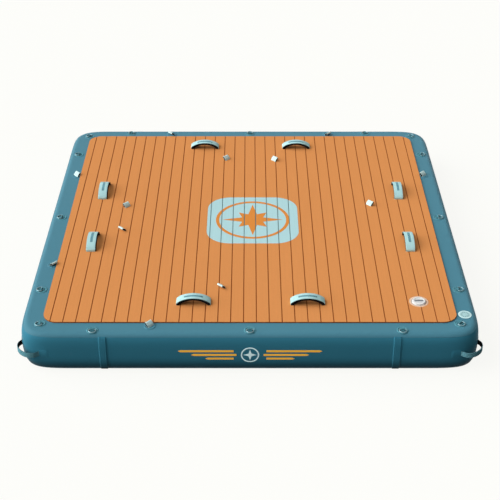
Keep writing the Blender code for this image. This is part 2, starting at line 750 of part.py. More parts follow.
def build_valve():
    """Inflation valve: body, backing nut, sprung plunger and the quarter-turn cap."""
    spot = (VALVE_X, VALVE_Y, DECK_Z)
    floor = -BODY_DEPTH
    seat = floor + SEAT_THICKNESS
    body_section = [
        (FLANGE_RADIUS, FLANGE_TOP),
        (FLANGE_RADIUS, GAP),
        (TUBE_RADIUS, GAP),
        (TUBE_RADIUS, floor),
        (GUIDE_RADIUS, floor),
        (GUIDE_RADIUS, seat),
        (BORE_RADIUS, seat),
        (BORE_RADIUS, FLANGE_TOP),
    ]
    body = turned("valve_body", body_section, "valve_plastic", spot, True)
    holes = bmesh.new()
    for index in range(FLOW_HOLES):
        turn = 2 * math.pi * (index + 0.5) / FLOW_HOLES
        centre = (FLOW_HOLE_PITCH_RADIUS * math.cos(turn), FLOW_HOLE_PITCH_RADIUS * math.sin(turn))
        cylinder(holes, FLOW_HOLE_RADIUS, floor - CUT_OVERRUN, seat + CUT_OVERRUN, TURN_STEPS // 2, centre)
    boolean(body, guide("flow_holes", mesh_from(holes, "flow_holes"), spot), "DIFFERENCE")

    nut_top = -(SKIN_THICKNESS + GAP + CORE_FABRIC + GAP)
    nut_section = [
        (NUT_RADIUS, nut_top),
        (NUT_RADIUS, nut_top - NUT_HEIGHT),
        (TUBE_RADIUS + GAP, nut_top - NUT_HEIGHT),
        (TUBE_RADIUS + GAP, nut_top),
    ]
    turned("valve_nut", nut_section, "valve_plastic", spot, True)

    button_low = BUTTON_TOP - BUTTON_THICKNESS
    seal_top = floor - GAP
    plunger_section = [
        (0.0, BUTTON_TOP),
        (BUTTON_RADIUS, BUTTON_TOP),
        (BUTTON_RADIUS, button_low),
        (STEM_RADIUS, button_low),
        (STEM_RADIUS, seal_top),
        (SEAL_RADIUS, seal_top),
        (SEAL_RADIUS, seal_top - SEAL_THICKNESS),
        (0.0, seal_top - SEAL_THICKNESS),
    ]
    turned("valve_plunger", plunger_section, "valve_inner", spot, False)
    build_spring(spot, seat + GAP + SPRING_WIRE_RADIUS, button_low - GAP - SPRING_WIRE_RADIUS)
    build_cap(spot)


def build_spring(spot, low, high):
    """The coil between the valve's seat and the plunger's button."""
    coil = bpy.data.curves.new("valve_coil", "CURVE")
    coil.dimensions = "3D"
    coil.bevel_depth = SPRING_WIRE_RADIUS
    coil.bevel_resolution = 0
    coil.use_fill_caps = True
    count = SPRING_TURNS * SPRING_POINTS
    line = coil.splines.new("POLY")
    line.points.add(count)
    for index, point in enumerate(line.points):
        turn = 2 * math.pi * index / SPRING_POINTS
        z = low + (high - low) * index / count
        point.co = (SPRING_RADIUS * math.cos(turn), SPRING_RADIUS * math.sin(turn), z, 1.0)
    place("valve_spring", coil, "spring_steel", spot)


def build_cap(spot):
    low = FLANGE_TOP + GAP
    high = low + CAP_THICKNESS
    plug = BORE_RADIUS - CAP_PLUG_CLEARANCE
    plug_low = low - CAP_PLUG_DEPTH
    section = [
        (0.0, high - CAP_DISH_DEPTH),
        (CAP_DISH_RADIUS, high - CAP_DISH_DEPTH),
        (CAP_DISH_RADIUS, high),
        (CAP_RADIUS, high),
        (CAP_RADIUS, low),
        (plug, low),
        (plug, plug_low),
        (plug - CAP_PLUG_WALL, plug_low),
        (plug - CAP_PLUG_WALL, low),
        (0.0, low),
    ]
    cap = turned("valve_cap", section, "valve_plastic", spot, False)
    bar = bmesh.new()
    bottom = high - CAP_DISH_DEPTH - CAP_BAR_SINK
    top = high - CAP_DISH_DEPTH + CAP_BAR_RISE
    box(bar, (CAP_BAR_LENGTH, CAP_BAR_WIDTH, top - bottom), (0.0, 0.0, (top + bottom) / 2))
    boolean(cap, guide("cap_grip", mesh_from(bar, "cap_grip"), spot), "UNION")


def build_disc():
    """The bare round disc on the rim beside the valve."""
    builder = bmesh.new()
    cylinder(builder, DISC_RADIUS, DECK_Z + GAP, DECK_Z + GAP + DISC_THICKNESS, TURN_STEPS)
    place("data_disc", mesh_from(builder, "data_disc"), "panel_foam", (DISC_X, DISC_Y, 0.0))


clear_scene()
PARTS = new_collection("inflatable_dock_platform")
CUTTERS = new_collection("cutters")
build_core()
build_top_skin()
build_bottom_skin()
build_walls()
build_splices()
build_deck()
build_handles()
build_carry_handles()
build_rings()
build_tabs()
build_valve()
build_disc()
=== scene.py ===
"""Inflatable dock platform: the dressed model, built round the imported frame."""

import json
import math

import bmesh
import bpy
from bpy.props import FloatProperty, FloatVectorProperty, IntProperty, PointerProperty
from mathutils import Matrix, Vector


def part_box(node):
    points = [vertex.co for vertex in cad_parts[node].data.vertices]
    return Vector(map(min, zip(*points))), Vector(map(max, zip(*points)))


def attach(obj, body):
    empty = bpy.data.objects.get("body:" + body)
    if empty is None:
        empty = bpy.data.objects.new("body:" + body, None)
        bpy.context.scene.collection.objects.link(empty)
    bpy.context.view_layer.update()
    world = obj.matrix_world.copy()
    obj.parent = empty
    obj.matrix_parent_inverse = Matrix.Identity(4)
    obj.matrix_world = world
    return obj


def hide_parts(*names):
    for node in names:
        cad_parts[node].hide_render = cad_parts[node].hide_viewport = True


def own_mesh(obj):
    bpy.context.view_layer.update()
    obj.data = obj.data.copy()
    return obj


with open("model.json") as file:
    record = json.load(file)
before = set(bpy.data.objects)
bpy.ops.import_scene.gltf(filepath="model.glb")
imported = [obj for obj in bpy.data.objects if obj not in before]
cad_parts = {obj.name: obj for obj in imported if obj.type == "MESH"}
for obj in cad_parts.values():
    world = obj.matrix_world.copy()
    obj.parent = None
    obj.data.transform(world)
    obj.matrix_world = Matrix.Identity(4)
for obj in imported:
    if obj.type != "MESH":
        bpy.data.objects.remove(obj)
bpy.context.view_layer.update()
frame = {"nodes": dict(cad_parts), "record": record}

bl_info = {
    "name": "Inflatable dock platform",
    "version": (1, 0, 0),
    "blender": (4, 5, 0),
    "location": "3D View > Sidebar > Dock",
    "description": "Hull, deck, webbing, rings and valve of an inflatable dock platform",
    "category": "Object",
}

GAP = 0.0003
QUARTER = math.pi / 2
MERGE = 0.00001
FINE_STEPS, ROUND_STEPS, COARSE_STEPS = 96, 72, 48
BODY = "platform"

PAD_LOW, PAD_HIGH = (Vector(corner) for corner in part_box("deck_pad"))
PAD_TOP = PAD_HIGH.z
PAD_HALF = PAD_HIGH.x
DECK_Z = PAD_LOW.z - GAP
MIDDLE_Z = DECK_Z / 2
HALF_SIDE = -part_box("side_wall_front")[0][1]
HEADINGS = {"front": math.pi, "right": -QUARTER, "rear": 0.0, "left": QUARTER}


def node_centre(node):
    low, high = (Vector(corner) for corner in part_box(node))
    return (low + high) / 2


VALVE = node_centre("valve_body")
VALVE.z = DECK_Z
DISC = node_centre("data_disc")
PANEL = node_centre("centre_panel")
SPLICE_X = node_centre("splice_front_right").x


def tone(red, green, blue):
    """A colour written in 0 to 255 screen steps, as Blender's linear values."""
    screen = [value / 255 for value in (red, green, blue)]
    return tuple(v / 12.92 if v <= 0.04045 else ((v + 0.055) / 1.055) ** 2.4 for v in screen)


def length(label, text, default):
    return FloatProperty(name=label, description=text, default=default, unit="LENGTH", precision=4)


def angle(label, text, degrees):
    return FloatProperty(name=label, description=text, default=math.radians(degrees), unit="ROTATION")


def number(label, text, default):
    return FloatProperty(name=label, description=text, default=default)


def count(label, text, default):
    return IntProperty(name=label, description=text, default=default, min=1)


def colour(label, text, default):
    return FloatVectorProperty(
        name=label, description=text, default=default, size=3, subtype="COLOR", min=0.0, max=1.0
    )


class DockHullSettings(bpy.types.PropertyGroup):
    """Sizes and colours of the inflated hull."""

    half_side: length("Half side", "Middle to the widest line of a side", HALF_SIDE)
    corner_radius: length("Corner radius", "Reach of a rounded corner seen from above", 0.300)
    corner_power: number("Corner squareness", "Two is round, more is squarer", 5.0)
    edge_depth: length("Edge depth", "How far the rounded rim stands past the flat", 0.045)
    upper_power: number("Upper edge squareness", "Two is round, more is squarer", 3.2)
    lower_power: number("Lower edge squareness", "Two is round, more is squarer", 2.8)
    skin: length("Skin thickness", "Coated fabric", 0.0012)
    seam: angle("Seam angle", "Where the skins meet the side wall", 56.0)
    lap_angle: angle("Lap", "Height of the lap seam over the side wall", 5.0)
    lap_rise: length("Lap rise", "How far the lap stands proud", 0.0009)
    corner_steps: count("Corner steps", "Columns in each rounded corner", 36)
    splice_width: length("Splice width", "Cover strip over a side wall joint", 0.0375)
    splice_rise: length("Splice rise", "Thickness of a cover strip", 0.0038)
    splice_slope: length("Splice slope", "Width of a cover strip's bevelled edge", 0.0040)
    fabric: colour("Fabric", "Coated fabric of the hull", tone(74, 130, 148))
    # Painted light: the side wall is the same cloth as the skin, given a second tone for how the wall is
    # lit.
    wall_fabric: colour("Wall fabric", "Coated fabric of the side wall", tone(58, 130, 153))
    # Painted shade: the wall's colour is darkened towards the bottom, below this height.
    waterline: length("Painted shade height", "The wall is darker below this height", 0.100)


class DockDeckSettings(bpy.types.PropertyGroup):
    """Sizes and colours of the foam deck and its panel."""

    corner_radius: length("Pad corner", "Corner radius of the pad", 0.070)
    plank_spacing: length("Plank spacing", "Groove to groove", 0.0595)
    groove_width: length("Groove width", "Routed groove between two planks", 0.0045)
    groove_depth: length("Groove depth", "Routed groove between two planks", 0.0023)
    edge: length("Edge rounding", "Softened edge of the cut foam", 0.0007)
    panel_side: length("Panel side", "Panel let into the middle", 0.480)
    panel_corner: length("Panel corner", "Corner radius of the panel", 0.123)
    star_reach: length("Star reach", "Long points of the compass star", 0.158)
    inlay_rise: length("Inlay rise", "How far the inlaid star stands proud", 0.0004)
    foam: colour("Deck foam", "Planks", tone(218, 144, 82))
    # Painted shade: the foam is darkened to this colour in the grooves, where shade falls.
    groove: colour("Groove", "Bottom of the grooves", tone(150, 80, 32))
    panel: colour("Panel foam", "Centre panel", tone(178, 217, 221))
    inlay: colour("Inlay foam", "Compass star", tone(222, 140, 62))
    surround: colour("Surround", "Recessed ring round the valve", tone(232, 196, 166))


class DockWebbingSettings(bpy.types.PropertyGroup):
    """Sizes and colours of handles, straps and tabs."""

    end_handle: length("End handle length", "Grab handles at the front and rear", 0.163)
    side_handle: length("Side handle length", "Grab handles at the left and right", 0.174)
    handle_width: length("Handle width", "Grab handle webbing", 0.047)
    handle_rise: length("Handle rise", "Grab handle over the deck", 0.0386)
    handle_strap: length("Handle strap", "Webbing and padding together", 0.0122)
    handle_cloth: number("Handle cloth share", "Webbing's share of the strap", 0.10)
    handle_shape: number("Handle shoulders", "Smaller is squarer", 0.75)
    handle_end: length("Handle end", "Height of the upright ends", 0.0085)
    handle_foot: length("Handle foot", "Length of padding that stands on the deck", 0.0150)
    handle_slip: length("Handle slip", "How far the padding of the left handles has slipped", 0.0045)
    carry_width: length("Carry strap width", "Corner carry strap", 0.027)
    carry_strap: length("Carry strap thickness", "Corner carry strap", 0.0045)
    carry_standoff: length("Carry strap standoff", "Room for a hand", 0.034)
    carry_start: angle("Carry strap end", "Where a strap's sewn end begins", 29.5)
    carry_foot: angle("Carry strap foot", "Where a strap leaves the hull", 35.0)
    carry_flat: length("Carry strap end thickness", "Pressed end of a corner strap", 0.0012)
    carry_cover: length("Carry strap cover", "Patch welded over a strap's end", 0.0008)
    tab_width: length("Tab width", "Small webbing tabs", 0.035)
    tab_height: length("Tab height", "Blade of a tab along its slope", 0.023)
    tab_thickness: length("Tab thickness", "Folded blade of a tab", 0.0105)
    tab_patch: length("Tab patch radius", "Welded patch under a rim tab", 0.029)
    tab_patch_rise: length("Tab patch rise", "Welded patch under a rim tab", 0.0008)
    tab_patch_lip: length("Tab patch lip", "Raised lip round that patch", 0.0026)
    tab_lean: angle("Tab lean", "Blade over the deck", 40.0)
    stitch: length("Stitch pitch", "From one stitch to the next", 0.0042)
    stripe_width: length("Stripe width", "Woven stripe along a handle", 0.0125)
    stripe: colour("Stripe", "Woven stripe along a handle", tone(122, 174, 187))
    handle: colour("Handle webbing", "Grab handles", tone(180, 223, 225))
    # The black padding colour; on the carry straps' inner faces and in the tabs' folds it is painted shade.
    liner: colour("Liner", "Padding under the handles", tone(16, 17, 19))
    carry: colour("Carry webbing", "Corner carry straps", tone(108, 166, 178))
    tab: colour("Tab webbing", "Small tabs", tone(212, 240, 238))
    thread: colour("Thread", "Stitches on the pale webbing", tone(40, 92, 106))


class DockFittingSettings(bpy.types.PropertyGroup):
    """Sizes and colours of rings, patches, valve and disc."""

    wire: length("Ring wire", "Radius of the ring's wire", 0.0025)
    ring_width: length("Ring width", "Wire centre to wire centre", 0.0325)
    ring_depth: length("Ring depth", "Bar to bow, wire centres", 0.0235)
    ring_bend: length("Ring bend", "Bend beside the straight bar", 0.0035)
    patch_radius: length("Patch radius", "Welded base of a ring", 0.028)
    patch_rise: length("Patch rise", "Welded base of a ring", 0.0014)
    patch_lip: length("Patch lip", "Raised lip round a ring's base", 0.0026)
    loop_width: length("Loop width", "Webbing loop over the bar", 0.019)
    loop_strap: length("Loop strap", "Webbing loop over the bar", 0.0014)
    valve_ribs: count("Valve ribs", "Ribs round the valve's cap", 44)
    plastic: colour("Valve plastic", "Valve body and cap", tone(232, 233, 231))
    grip: colour("Valve grip", "Bar across the cap", tone(128, 132, 138))
    patch: colour("Patch", "Welded base of a ring", tone(78, 137, 150))
    steel: colour("Ring steel", "Drawn wire of the rings", tone(118, 148, 156))
    spring: colour("Spring steel", "Wire of the valve's spring", tone(178, 181, 183))
    disc: colour("Disc", "Round disc beside the valve", tone(166, 205, 207))
    disc_edge: colour("Disc edge", "Border of the round disc", tone(206, 238, 238))
    disc_mark: colour("Disc marks", "Plain ticks on the round disc", tone(92, 132, 138))
    trim_pale: colour("Pale trim", "Front trim", tone(214, 240, 242))
    trim_warm: colour("Warm trim", "Front trim", tone(250, 186, 70))
    # Painted light: the trim's print glows by emission, though it is no lamp.
    trim_painted_glow: number("Trim glow", "How strongly the reflective print gives light back", 0.26)


class DockStageSettings(bpy.types.PropertyGroup):
    """Floor, lamps and camera."""

    floor: colour("Floor", "Floor and background", (0.985, 0.985, 0.955))
    sky: number("Sky", "Strength of the soft light all round", 0.42)
    key: number("Key", "Strength of the key lamp at the left", 3.65)
    key_spread: angle("Key spread", "Softness of the key lamp", 70.0)
    fill: number("Fill", "Strength of the fill lamp at the front left", 0.60)
    fill_spread: angle("Fill spread", "Softness of the fill lamp", 60.0)
    tilt: angle("Camera tilt", "Below the horizon", 31.99)
    lens: number("Lens", "Focal length in millimetres on a 36 mm sensor", 81.835)
    camera_place: FloatVectorProperty(
        name="Camera place",
        description="Where the camera stands",
        default=(0.0, -5.2204, 3.2602),
        size=3,
        subtype="TRANSLATION",
    )


SETTINGS = {
    "dock_hull": DockHullSettings,
    "dock_deck": DockDeckSettings,
    "dock_webbing": DockWebbingSettings,
    "dock_fittings": DockFittingSettings,
    "dock_stage": DockStageSettings,
}


# Node graphs

FLOAT, INT, VECTOR = "NodeSocketFloat", "NodeSocketInt", "NodeSocketVector"
GEOMETRY, MATERIAL, OBJECT = "NodeSocketGeometry", "NodeSocketMaterial", "NodeSocketObject"


class Graph:
    """Adds nodes to a tree; a value or a socket may feed any input."""

    def __init__(self, tree):
        self.tree = tree

    def add(self, kind, feeds=None, **settings):
        made = self.tree.nodes.new(kind)
        for name, value in settings.items():
            setattr(made, name, value)
        for key, value in (feeds or {}).items():
            self.feed(made.inputs[key], value)
        return made

    def put(self, kind, feeds=None, **settings):
        """The first output of a new node."""
        return self.add(kind, feeds, **settings).outputs[0]

    def feed(self, socket, value):
        if isinstance(value, bpy.types.NodeSocket):
            self.tree.links.new(value, socket)
        else:
            socket.default_value = value

    def math(self, operation, *values):
        return self.put("ShaderNodeMath", dict(enumerate(values)), operation=operation)

    def total(self, *values):
        result = values[0]
        for value in values[1:]:
            result = self.math("ADD", result, value)
        return result

    def vector(self, x=0.0, y=0.0, z=0.0):
        return self.put("ShaderNodeCombineXYZ", {0: x, 1: y, 2: z})

    def parts(self, vector):
        """The X, Y and Z of a vector."""
        return self.add("ShaderNodeSeparateXYZ", {0: vector}).outputs

    def ramp(self, value, start, end, low=0.0, high=1.0, kind="LINEAR"):
        """Goes from low to high while the value goes from start to end."""
        feeds = {"Value": value, "From Min": start, "From Max": end, "To Min": low, "To Max": high}
        return self.put("ShaderNodeMapRange", feeds, interpolation_type=kind)

    def group(self, name, **feeds):
        """The outputs of a shader group; its inputs are named with underscores for spaces."""
        made = self.add("ShaderNodeGroup", node_tree=tree_named(name))
        for key, value in feeds.items():
            self.feed(made.inputs[key.replace("_", " ")], value)
        return made.outputs

    def mixed(self, share, first, second):
        """A colour between two, by a share."""
        return self.add("ShaderNodeMix", {0: share, 6: first, 7: second}, data_type="RGBA").outputs[2]


class TreeGraph(Graph):
    """The graph of a new tree with named inputs and outputs.

    An input is given by its default value, or by its socket's type where it has none.
    """

    def __init__(self, kind, name, socket, outputs, inputs):
        super().__init__(bpy.data.node_groups.new(name, kind))
        new_socket = self.tree.interface.new_socket
        for label, given in inputs.items():
            number_type = {float: FLOAT, int: INT}.get(type(given))
            made = new_socket(label.replace("_", " "), in_out="INPUT", socket_type=number_type or given)
            if number_type:
                made.default_value = given
        for label in outputs:
            new_socket(label, in_out="OUTPUT", socket_type=socket)
        self.given = self.add("NodeGroupInput").outputs
        self.leave = self.add("NodeGroupOutput").inputs

    def give(self, **results):
        """Feed the tree's outputs, and give the finished tree."""
        for label, value in results.items():
            self.feed(self.leave[label], value)
        return self.tree


class ShaderGroup(TreeGraph):
    """Values that change over a surface."""

    def __init__(self, name, outputs, **inputs):
        super().__init__("ShaderNodeTree", name, FLOAT, outputs, {"Vector": VECTOR, **inputs})


class ShapeTree(TreeGraph):
    """Geometry Nodes that make a mesh."""

    def __init__(self, name, **inputs):
        inputs["Material"] = MATERIAL
        super().__init__("GeometryNodeTree", name, GEOMETRY, ("Geometry",), inputs)

    def about_z(self, turn):
        return self.put("FunctionNodeEulerToRotation", {0: self.vector(0.0, 0.0, turn)})

    def on_points(self, points, piece, **feeds):
        """A piece on every point."""
        return self.put("GeometryNodeInstanceOnPoints", {0: points, "Instance": piece, **feeds})

    def end(self, geometry):
        """Every tree ends the same way: real geometry, with its material."""
        real = self.put("GeometryNodeRealizeInstances", {0: geometry})
        feeds = {0: real, "Material": self.given["Material"]}
        return self.give(Geometry=self.put("GeometryNodeSetMaterial", feeds))


def tree_named(name):
    """One of this file's node trees, built when it is first asked for."""
    return bpy.data.node_groups.get(name) or TREES[name](name)


# Shader groups


def build_mottle(name):
    """Broad, soft unevenness of colour and gloss."""
    graph = ShaderGroup(name, ("Shade", "Spread"), Scale=6.0, Amount=0.05)
    given = graph.given
    feeds = {"Vector": given["Vector"], "Scale": given["Scale"], "Detail": 4.0, "Roughness": 0.55}
    spread = graph.math("SUBTRACT", graph.put("ShaderNodeTexNoise", feeds), 0.5)
    shift = graph.math("MULTIPLY", spread, graph.math("MULTIPLY", given["Amount"], 2.0))
    return graph.give(Shade=graph.math("ADD", shift, 1.0), Spread=spread)


def build_base_cloth(name):
    """Square weave of a base cloth under its coating."""
    graph = ShaderGroup(name, ("Height",), Pitch=0.0011)
    parts = graph.parts(graph.given["Vector"])
    rate = graph.math("DIVIDE", 2 * math.pi, graph.given["Pitch"])
    waves = []
    for flat in parts[:2]:
        way = graph.math("ADD", flat, parts[2])
        waves.append(graph.math("SINE", graph.math("MULTIPLY", way, rate)))
    cloth = graph.math("MULTIPLY", *waves)
    return graph.give(Height=graph.math("MULTIPLY_ADD", cloth, 0.5, 0.5))


def build_webbing_weave(name):
    """Ribs and warp rows of a woven tape: the map's U runs along it, in metres."""
    graph = ShaderGroup(name, ("Height", "Shade"), Rib_Pitch=0.0017, Row_Pitch=0.0026)
    given = graph.given
    along, across, _ = graph.parts(given["Vector"])
    row = graph.math("DIVIDE", across, given["Row Pitch"])
    slant = graph.math("MULTIPLY", graph.math("PINGPONG", row, 1.0), 0.7)
    rib_turn = graph.math("ADD", graph.math("DIVIDE", along, given["Rib Pitch"]), slant)
    rib = graph.math("SINE", graph.math("MULTIPLY", rib_turn, 2 * math.pi))
    warp = graph.math("SINE", graph.math("MULTIPLY", row, 2 * math.pi))
    blend = graph.total(graph.math("MULTIPLY", rib, 0.32), graph.math("MULTIPLY", warp, 0.18), 0.5)
    return graph.give(Height=blend, Shade=graph.math("MULTIPLY_ADD", blend, 0.16, 0.92))


def build_foam_grain(name):
    """Brushed closed-cell foam: fine cells, and streaks that run with the planks."""
    graph = ShaderGroup(name, ("Height", "Shade"), Cell_Scale=620.0)
    place = graph.given["Vector"]
    feeds = {"Vector": place, "Scale": graph.given["Cell Scale"]}
    cells = graph.put("ShaderNodeTexVoronoi", feeds, feature="SMOOTH_F1")
    squeezed = graph.put("ShaderNodeMapping", {"Vector": place, "Scale": (260.0, 5.0, 260.0)})
    streaks = graph.put("ShaderNodeTexNoise", {"Vector": squeezed, "Scale": 1.0, "Detail": 3.0})

    def blend(cell_share, streak_share, *rest):
        parts = (graph.math("MULTIPLY", cells, cell_share), graph.math("MULTIPLY", streaks, streak_share))
        return graph.total(*parts, *rest)

    return graph.give(Height=blend(0.6, 0.4), Shade=blend(0.07, 0.10, 0.915))


def build_scuffs(name):
    """Sparse rubbed spots and fine scratches."""
    graph = ShaderGroup(name, ("Mask",), Scale=22.0, Amount=0.3)
    given = graph.given
    feeds = {"Vector": given["Vector"], "Scale": given["Scale"], "Detail": 8.0, "Roughness": 0.72}
    spots = graph.put("ShaderNodeTexNoise", feeds)
    edge = graph.ramp(spots, 0.60, 0.74, kind="SMOOTHSTEP")
    return graph.give(Mask=graph.math("MULTIPLY", edge, given["Amount"]))


# Materials


def darker(colour, share):
    return tuple(share * value for value in colour)


class Finish:
    """A material under construction, with its Principled shader and its colour so far."""

    def __init__(self, name, colour, roughness, **fixed):
        self.made = bpy.data.materials.new(name)
        self.made.use_nodes = True
        self.graph = Graph(self.made.node_tree)
        self.shader = self.made.node_tree.nodes["Principled BSDF"]
        self.colour = (*colour, 1.0)
        self.roughness = roughness
        for label, value in fixed.items():
            self.shader.inputs[label.replace("_", " ")].default_value = value
        places = self.graph.add("ShaderNodeTexCoord").outputs
        self.place, self.uv = places["Object"], places["UV"]
        self.height = None

    def group(self, name, **feeds):
        """A shader group on Object coordinates, unless another vector is given."""
        return self.graph.group(name, **{"Vector": self.place, **feeds})

    def shade(self, *values):
        """Darken or lighten the colour by factors that change over the surface."""
        value = values[0]
        for factor in values[1:]:
            value = self.graph.math("MULTIPLY", value, factor)
        feeds = {"Value": value, "Color": self.colour}
        self.colour = self.graph.put("ShaderNodeHueSaturation", feeds)

    def tint(self, mask, colour):
        self.colour = self.graph.mixed(mask, self.colour, (*colour, 1.0))

    def roughen(self, spread, amount):
        self.roughness = self.graph.math("MULTIPLY_ADD", spread, amount, self.roughness)

    def raise_by(self, height, share=1.0):
        part = self.graph.math("MULTIPLY", height, share)
        self.height = part if self.height is None else self.graph.math("ADD", self.height, part)

    def done(self, depth):
        graph, shader = self.graph, self.shader
        graph.feed(shader.inputs["Base Color"], self.colour)
        graph.feed(shader.inputs["Roughness"], self.roughness)
        if self.height is not None:
            bump = graph.put("ShaderNodeBump", {"Height": self.height, "Distance": depth})
            graph.feed(shader.inputs["Normal"], bump)
        return self.made


def coated_fabric(name, colour, gloss=0.09, glow=0.0, waterline=0.0):
    """Satin coated cloth, with mottling and light scuffs; painted shade darkens it towards the bottom, below
    a given height, and a given glow is painted light.
    """
    fixed = {"Specular_IOR_Level": gloss, "Sheen_Weight": 0.12, "Sheen_Roughness": 0.35}
    # Painted light: the emission makes the cloth glow, though it is no lamp.
    if glow:
        fixed.update(Emission_Color=(*colour, 1.0), Emission_Strength=glow)
    work = Finish(name, colour, 0.5, **fixed)
    broad = work.group("mottle", Scale=3.2, Amount=0.045)
    fine = work.group("mottle", Scale=140.0, Amount=0.03)
    rubbed = work.group("scuffs", Scale=16.0, Amount=0.22)["Mask"]
    work.shade(broad["Shade"], fine["Shade"])
    if waterline:
        # Painted shade: darker towards the bottom, fading out at the given height.
        height = work.graph.parts(work.place)[2]
        work.shade(work.graph.ramp(height, 0.0, waterline, 0.22, 1.0, "SMOOTHERSTEP"))
    work.tint(rubbed, tuple(0.8 * value + 0.06 for value in colour))
    work.roughen(broad["Spread"], 0.16)
    work.roughen(rubbed, 0.3)
    work.raise_by(work.group("base_cloth", Pitch=0.0013)["Height"], 0.5)
    work.raise_by(fine["Spread"], 0.5)
    return work.done(0.00006)


def deck_foam(name, colour, groove=None):
    """Brushed foam; below the planks' top it goes over to the darker groove colour, painted shade in the
    grooves.
    """
    work = Finish(name, colour, 0.82, Specular_IOR_Level=0.14)
    grain = work.group("foam_grain")
    broad = work.group("mottle", Scale=2.1, Amount=0.03)
    fine = work.group("mottle", Scale=75.0, Amount=0.035)
    work.shade(broad["Shade"], fine["Shade"], grain["Shade"])
    if groove:
        # Painted shade: darker below the planks' top, in the grooves.
        height = work.graph.parts(work.place)[2]
        work.tint(work.graph.ramp(height, PAD_TOP - 0.0005, PAD_TOP - 0.0013), groove)
    rubbed = work.group("scuffs", Scale=9.0, Amount=0.16)["Mask"]
    work.tint(rubbed, tuple(0.86 * value + 0.09 for value in colour))
    work.roughen(fine["Spread"], 0.2)
    work.raise_by(grain["Height"])
    return work.done(0.00025)


def webbing(name, colour, roughness=0.72, rib=0.0017, gloss=0.12):
    """Woven tape with ribs across it, read from the piece's own map."""
    work = Finish(name, colour, roughness, Specular_IOR_Level=gloss, Sheen_Weight=0.4 * gloss)
    weave = work.group("webbing_weave", Vector=work.uv, Rib_Pitch=rib)
    broad = work.group("mottle", Scale=26.0, Amount=0.05)
    work.shade(weave["Shade"], broad["Shade"])
    work.roughen(broad["Spread"], 0.2)
    work.raise_by(weave["Height"])
    return work.done(0.00035)


def padding(name, colour):
    """Knitted face of the padding under a handle."""
    work = Finish(name, colour, 0.9, Specular_IOR_Level=0.08)
    knit = work.group("webbing_weave", Vector=work.uv, Rib_Pitch=0.0011, Row_Pitch=0.0012)
    work.shade(knit["Shade"], work.group("mottle", Scale=40.0, Amount=0.12)["Shade"])
    work.raise_by(knit["Height"])
    return work.done(0.0003)


def brushed_steel(name, colour, roughness):
    """Stainless wire: fine drawn lines and a few dull spots."""
    work = Finish(name, colour, roughness, Metallic=1.0)
    fine = work.group("mottle", Scale=900.0, Amount=0.06)
    rubbed = work.group("scuffs", Scale=120.0, Amount=0.35)["Mask"]
    work.shade(fine["Shade"])
    work.tint(rubbed, darker(colour, 0.9))
    work.roughen(fine["Spread"], 0.2)
    work.roughen(rubbed, 0.3)
    work.raise_by(fine["Spread"])
    return work.done(0.00005)


def moulded_plastic(name, colour, roughness=0.36):
    """Moulded plastic: a fine sparked grain and faint flow marks."""
    work = Finish(name, colour, roughness)
    fine = work.group("mottle", Scale=1400.0, Amount=0.02)
    flow = work.group("mottle", Scale=34.0, Amount=0.03)
    work.shade(fine["Shade"], flow["Shade"])
    rubbed = work.group("scuffs", Scale=150.0, Amount=0.2)["Mask"]
    work.tint(rubbed, darker(colour, 0.8))
    work.roughen(flow["Spread"], 0.18)
    work.raise_by(fine["Spread"])
    return work.done(0.00004)


def woven_core_cloth(name, colour):
    """Plain woven cloth of the core's faces and yarns."""
    work = Finish(name, colour, 0.9)
    work.shade(work.group("mottle", Scale=30.0, Amount=0.1)["Shade"])
    work.raise_by(work.group("base_cloth", Pitch=0.003)["Height"])
    return work.done(0.0004)


def material(name, make, *values, **options):
    """A material by name, made when it is first asked for."""
    return bpy.data.materials.get(name) or make(name, *values, **options)


def skin_cloth(hull):
    return material("hull_fabric", coated_fabric, hull.fabric)


def wall_cloth_painted_tone(hull):
    # The side wall's copy of the hull cloth in its painted-light tone, also used on the cover strips and the
    # carry straps' patches.
    return material("wall_fabric", coated_fabric, hull.wall_fabric, 0.04, waterline=hull.waterline)


def black_knit_and_shade(web):
    # Black knit: real padding under the handles, and painted shade on the carry straps' inner faces and in
    # the tabs' folds.
    return material("handle_padding", padding, web.liner)


# Mesh tools


def mesh_object(name, mesh, finish=None):
    made = bpy.data.objects.new(name, mesh)
    bpy.context.scene.collection.objects.link(made)
    if finish:
        mesh.materials.clear()
        mesh.materials.append(finish)
    return made


def piece(name, mesh, slot, finish=None, body=BODY, replaced=()):
    """A finished piece on its body, standing for the nodes that it replaces."""
    made = mesh_object(name, mesh, finish)
    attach(made, body)
    if replaced:
        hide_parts(*replaced)
    return made


def smooth(mesh, degrees=32.0):
    for face in mesh.polygons:
        face.use_smooth = True
    mesh.set_sharp_from_angle(angle=math.radians(degrees))
    return mesh


def settled(scratch):
    """The plain mesh of an object with its modifiers applied; the object itself goes."""
    reader = bpy.context.evaluated_depsgraph_get()
    mesh = bpy.data.meshes.new_from_object(scratch.evaluated_get(reader))
    mesh.name = scratch.name
    bpy.data.objects.remove(scratch)
    return mesh


def grown(name, tree, source=None, **inputs):
    """The plain mesh that a tree makes; inputs are named with underscores for spaces."""
    scratch = mesh_object(name, source or bpy.data.meshes.new(name))
    grower = scratch.modifiers.new("grow", "NODES")
    grower.node_group = tree_named(tree)
    sockets = grower.node_group.interface.items_tree
    named = {item.name: item.identifier for item in sockets if item.in_out == "INPUT"}
    for label, value in inputs.items():
        grower[named[label.replace("_", " ")]] = value
    return settled(scratch)


def finished(mesh, kind, **values):
    """A mesh with one modifier applied."""
    scratch = mesh_object(mesh.name, mesh)
    added = scratch.modifiers.new(kind.lower(), kind)
    for label, value in values.items():
        setattr(added, label, value)
    return settled(scratch)


def edited(mesh, edit):
    """Run edit(bmesh) on a mesh and keep the result."""
    builder = bmesh.new()
    builder.from_mesh(mesh)
    edit(builder)
    builder.to_mesh(mesh)
    builder.free()
    return mesh


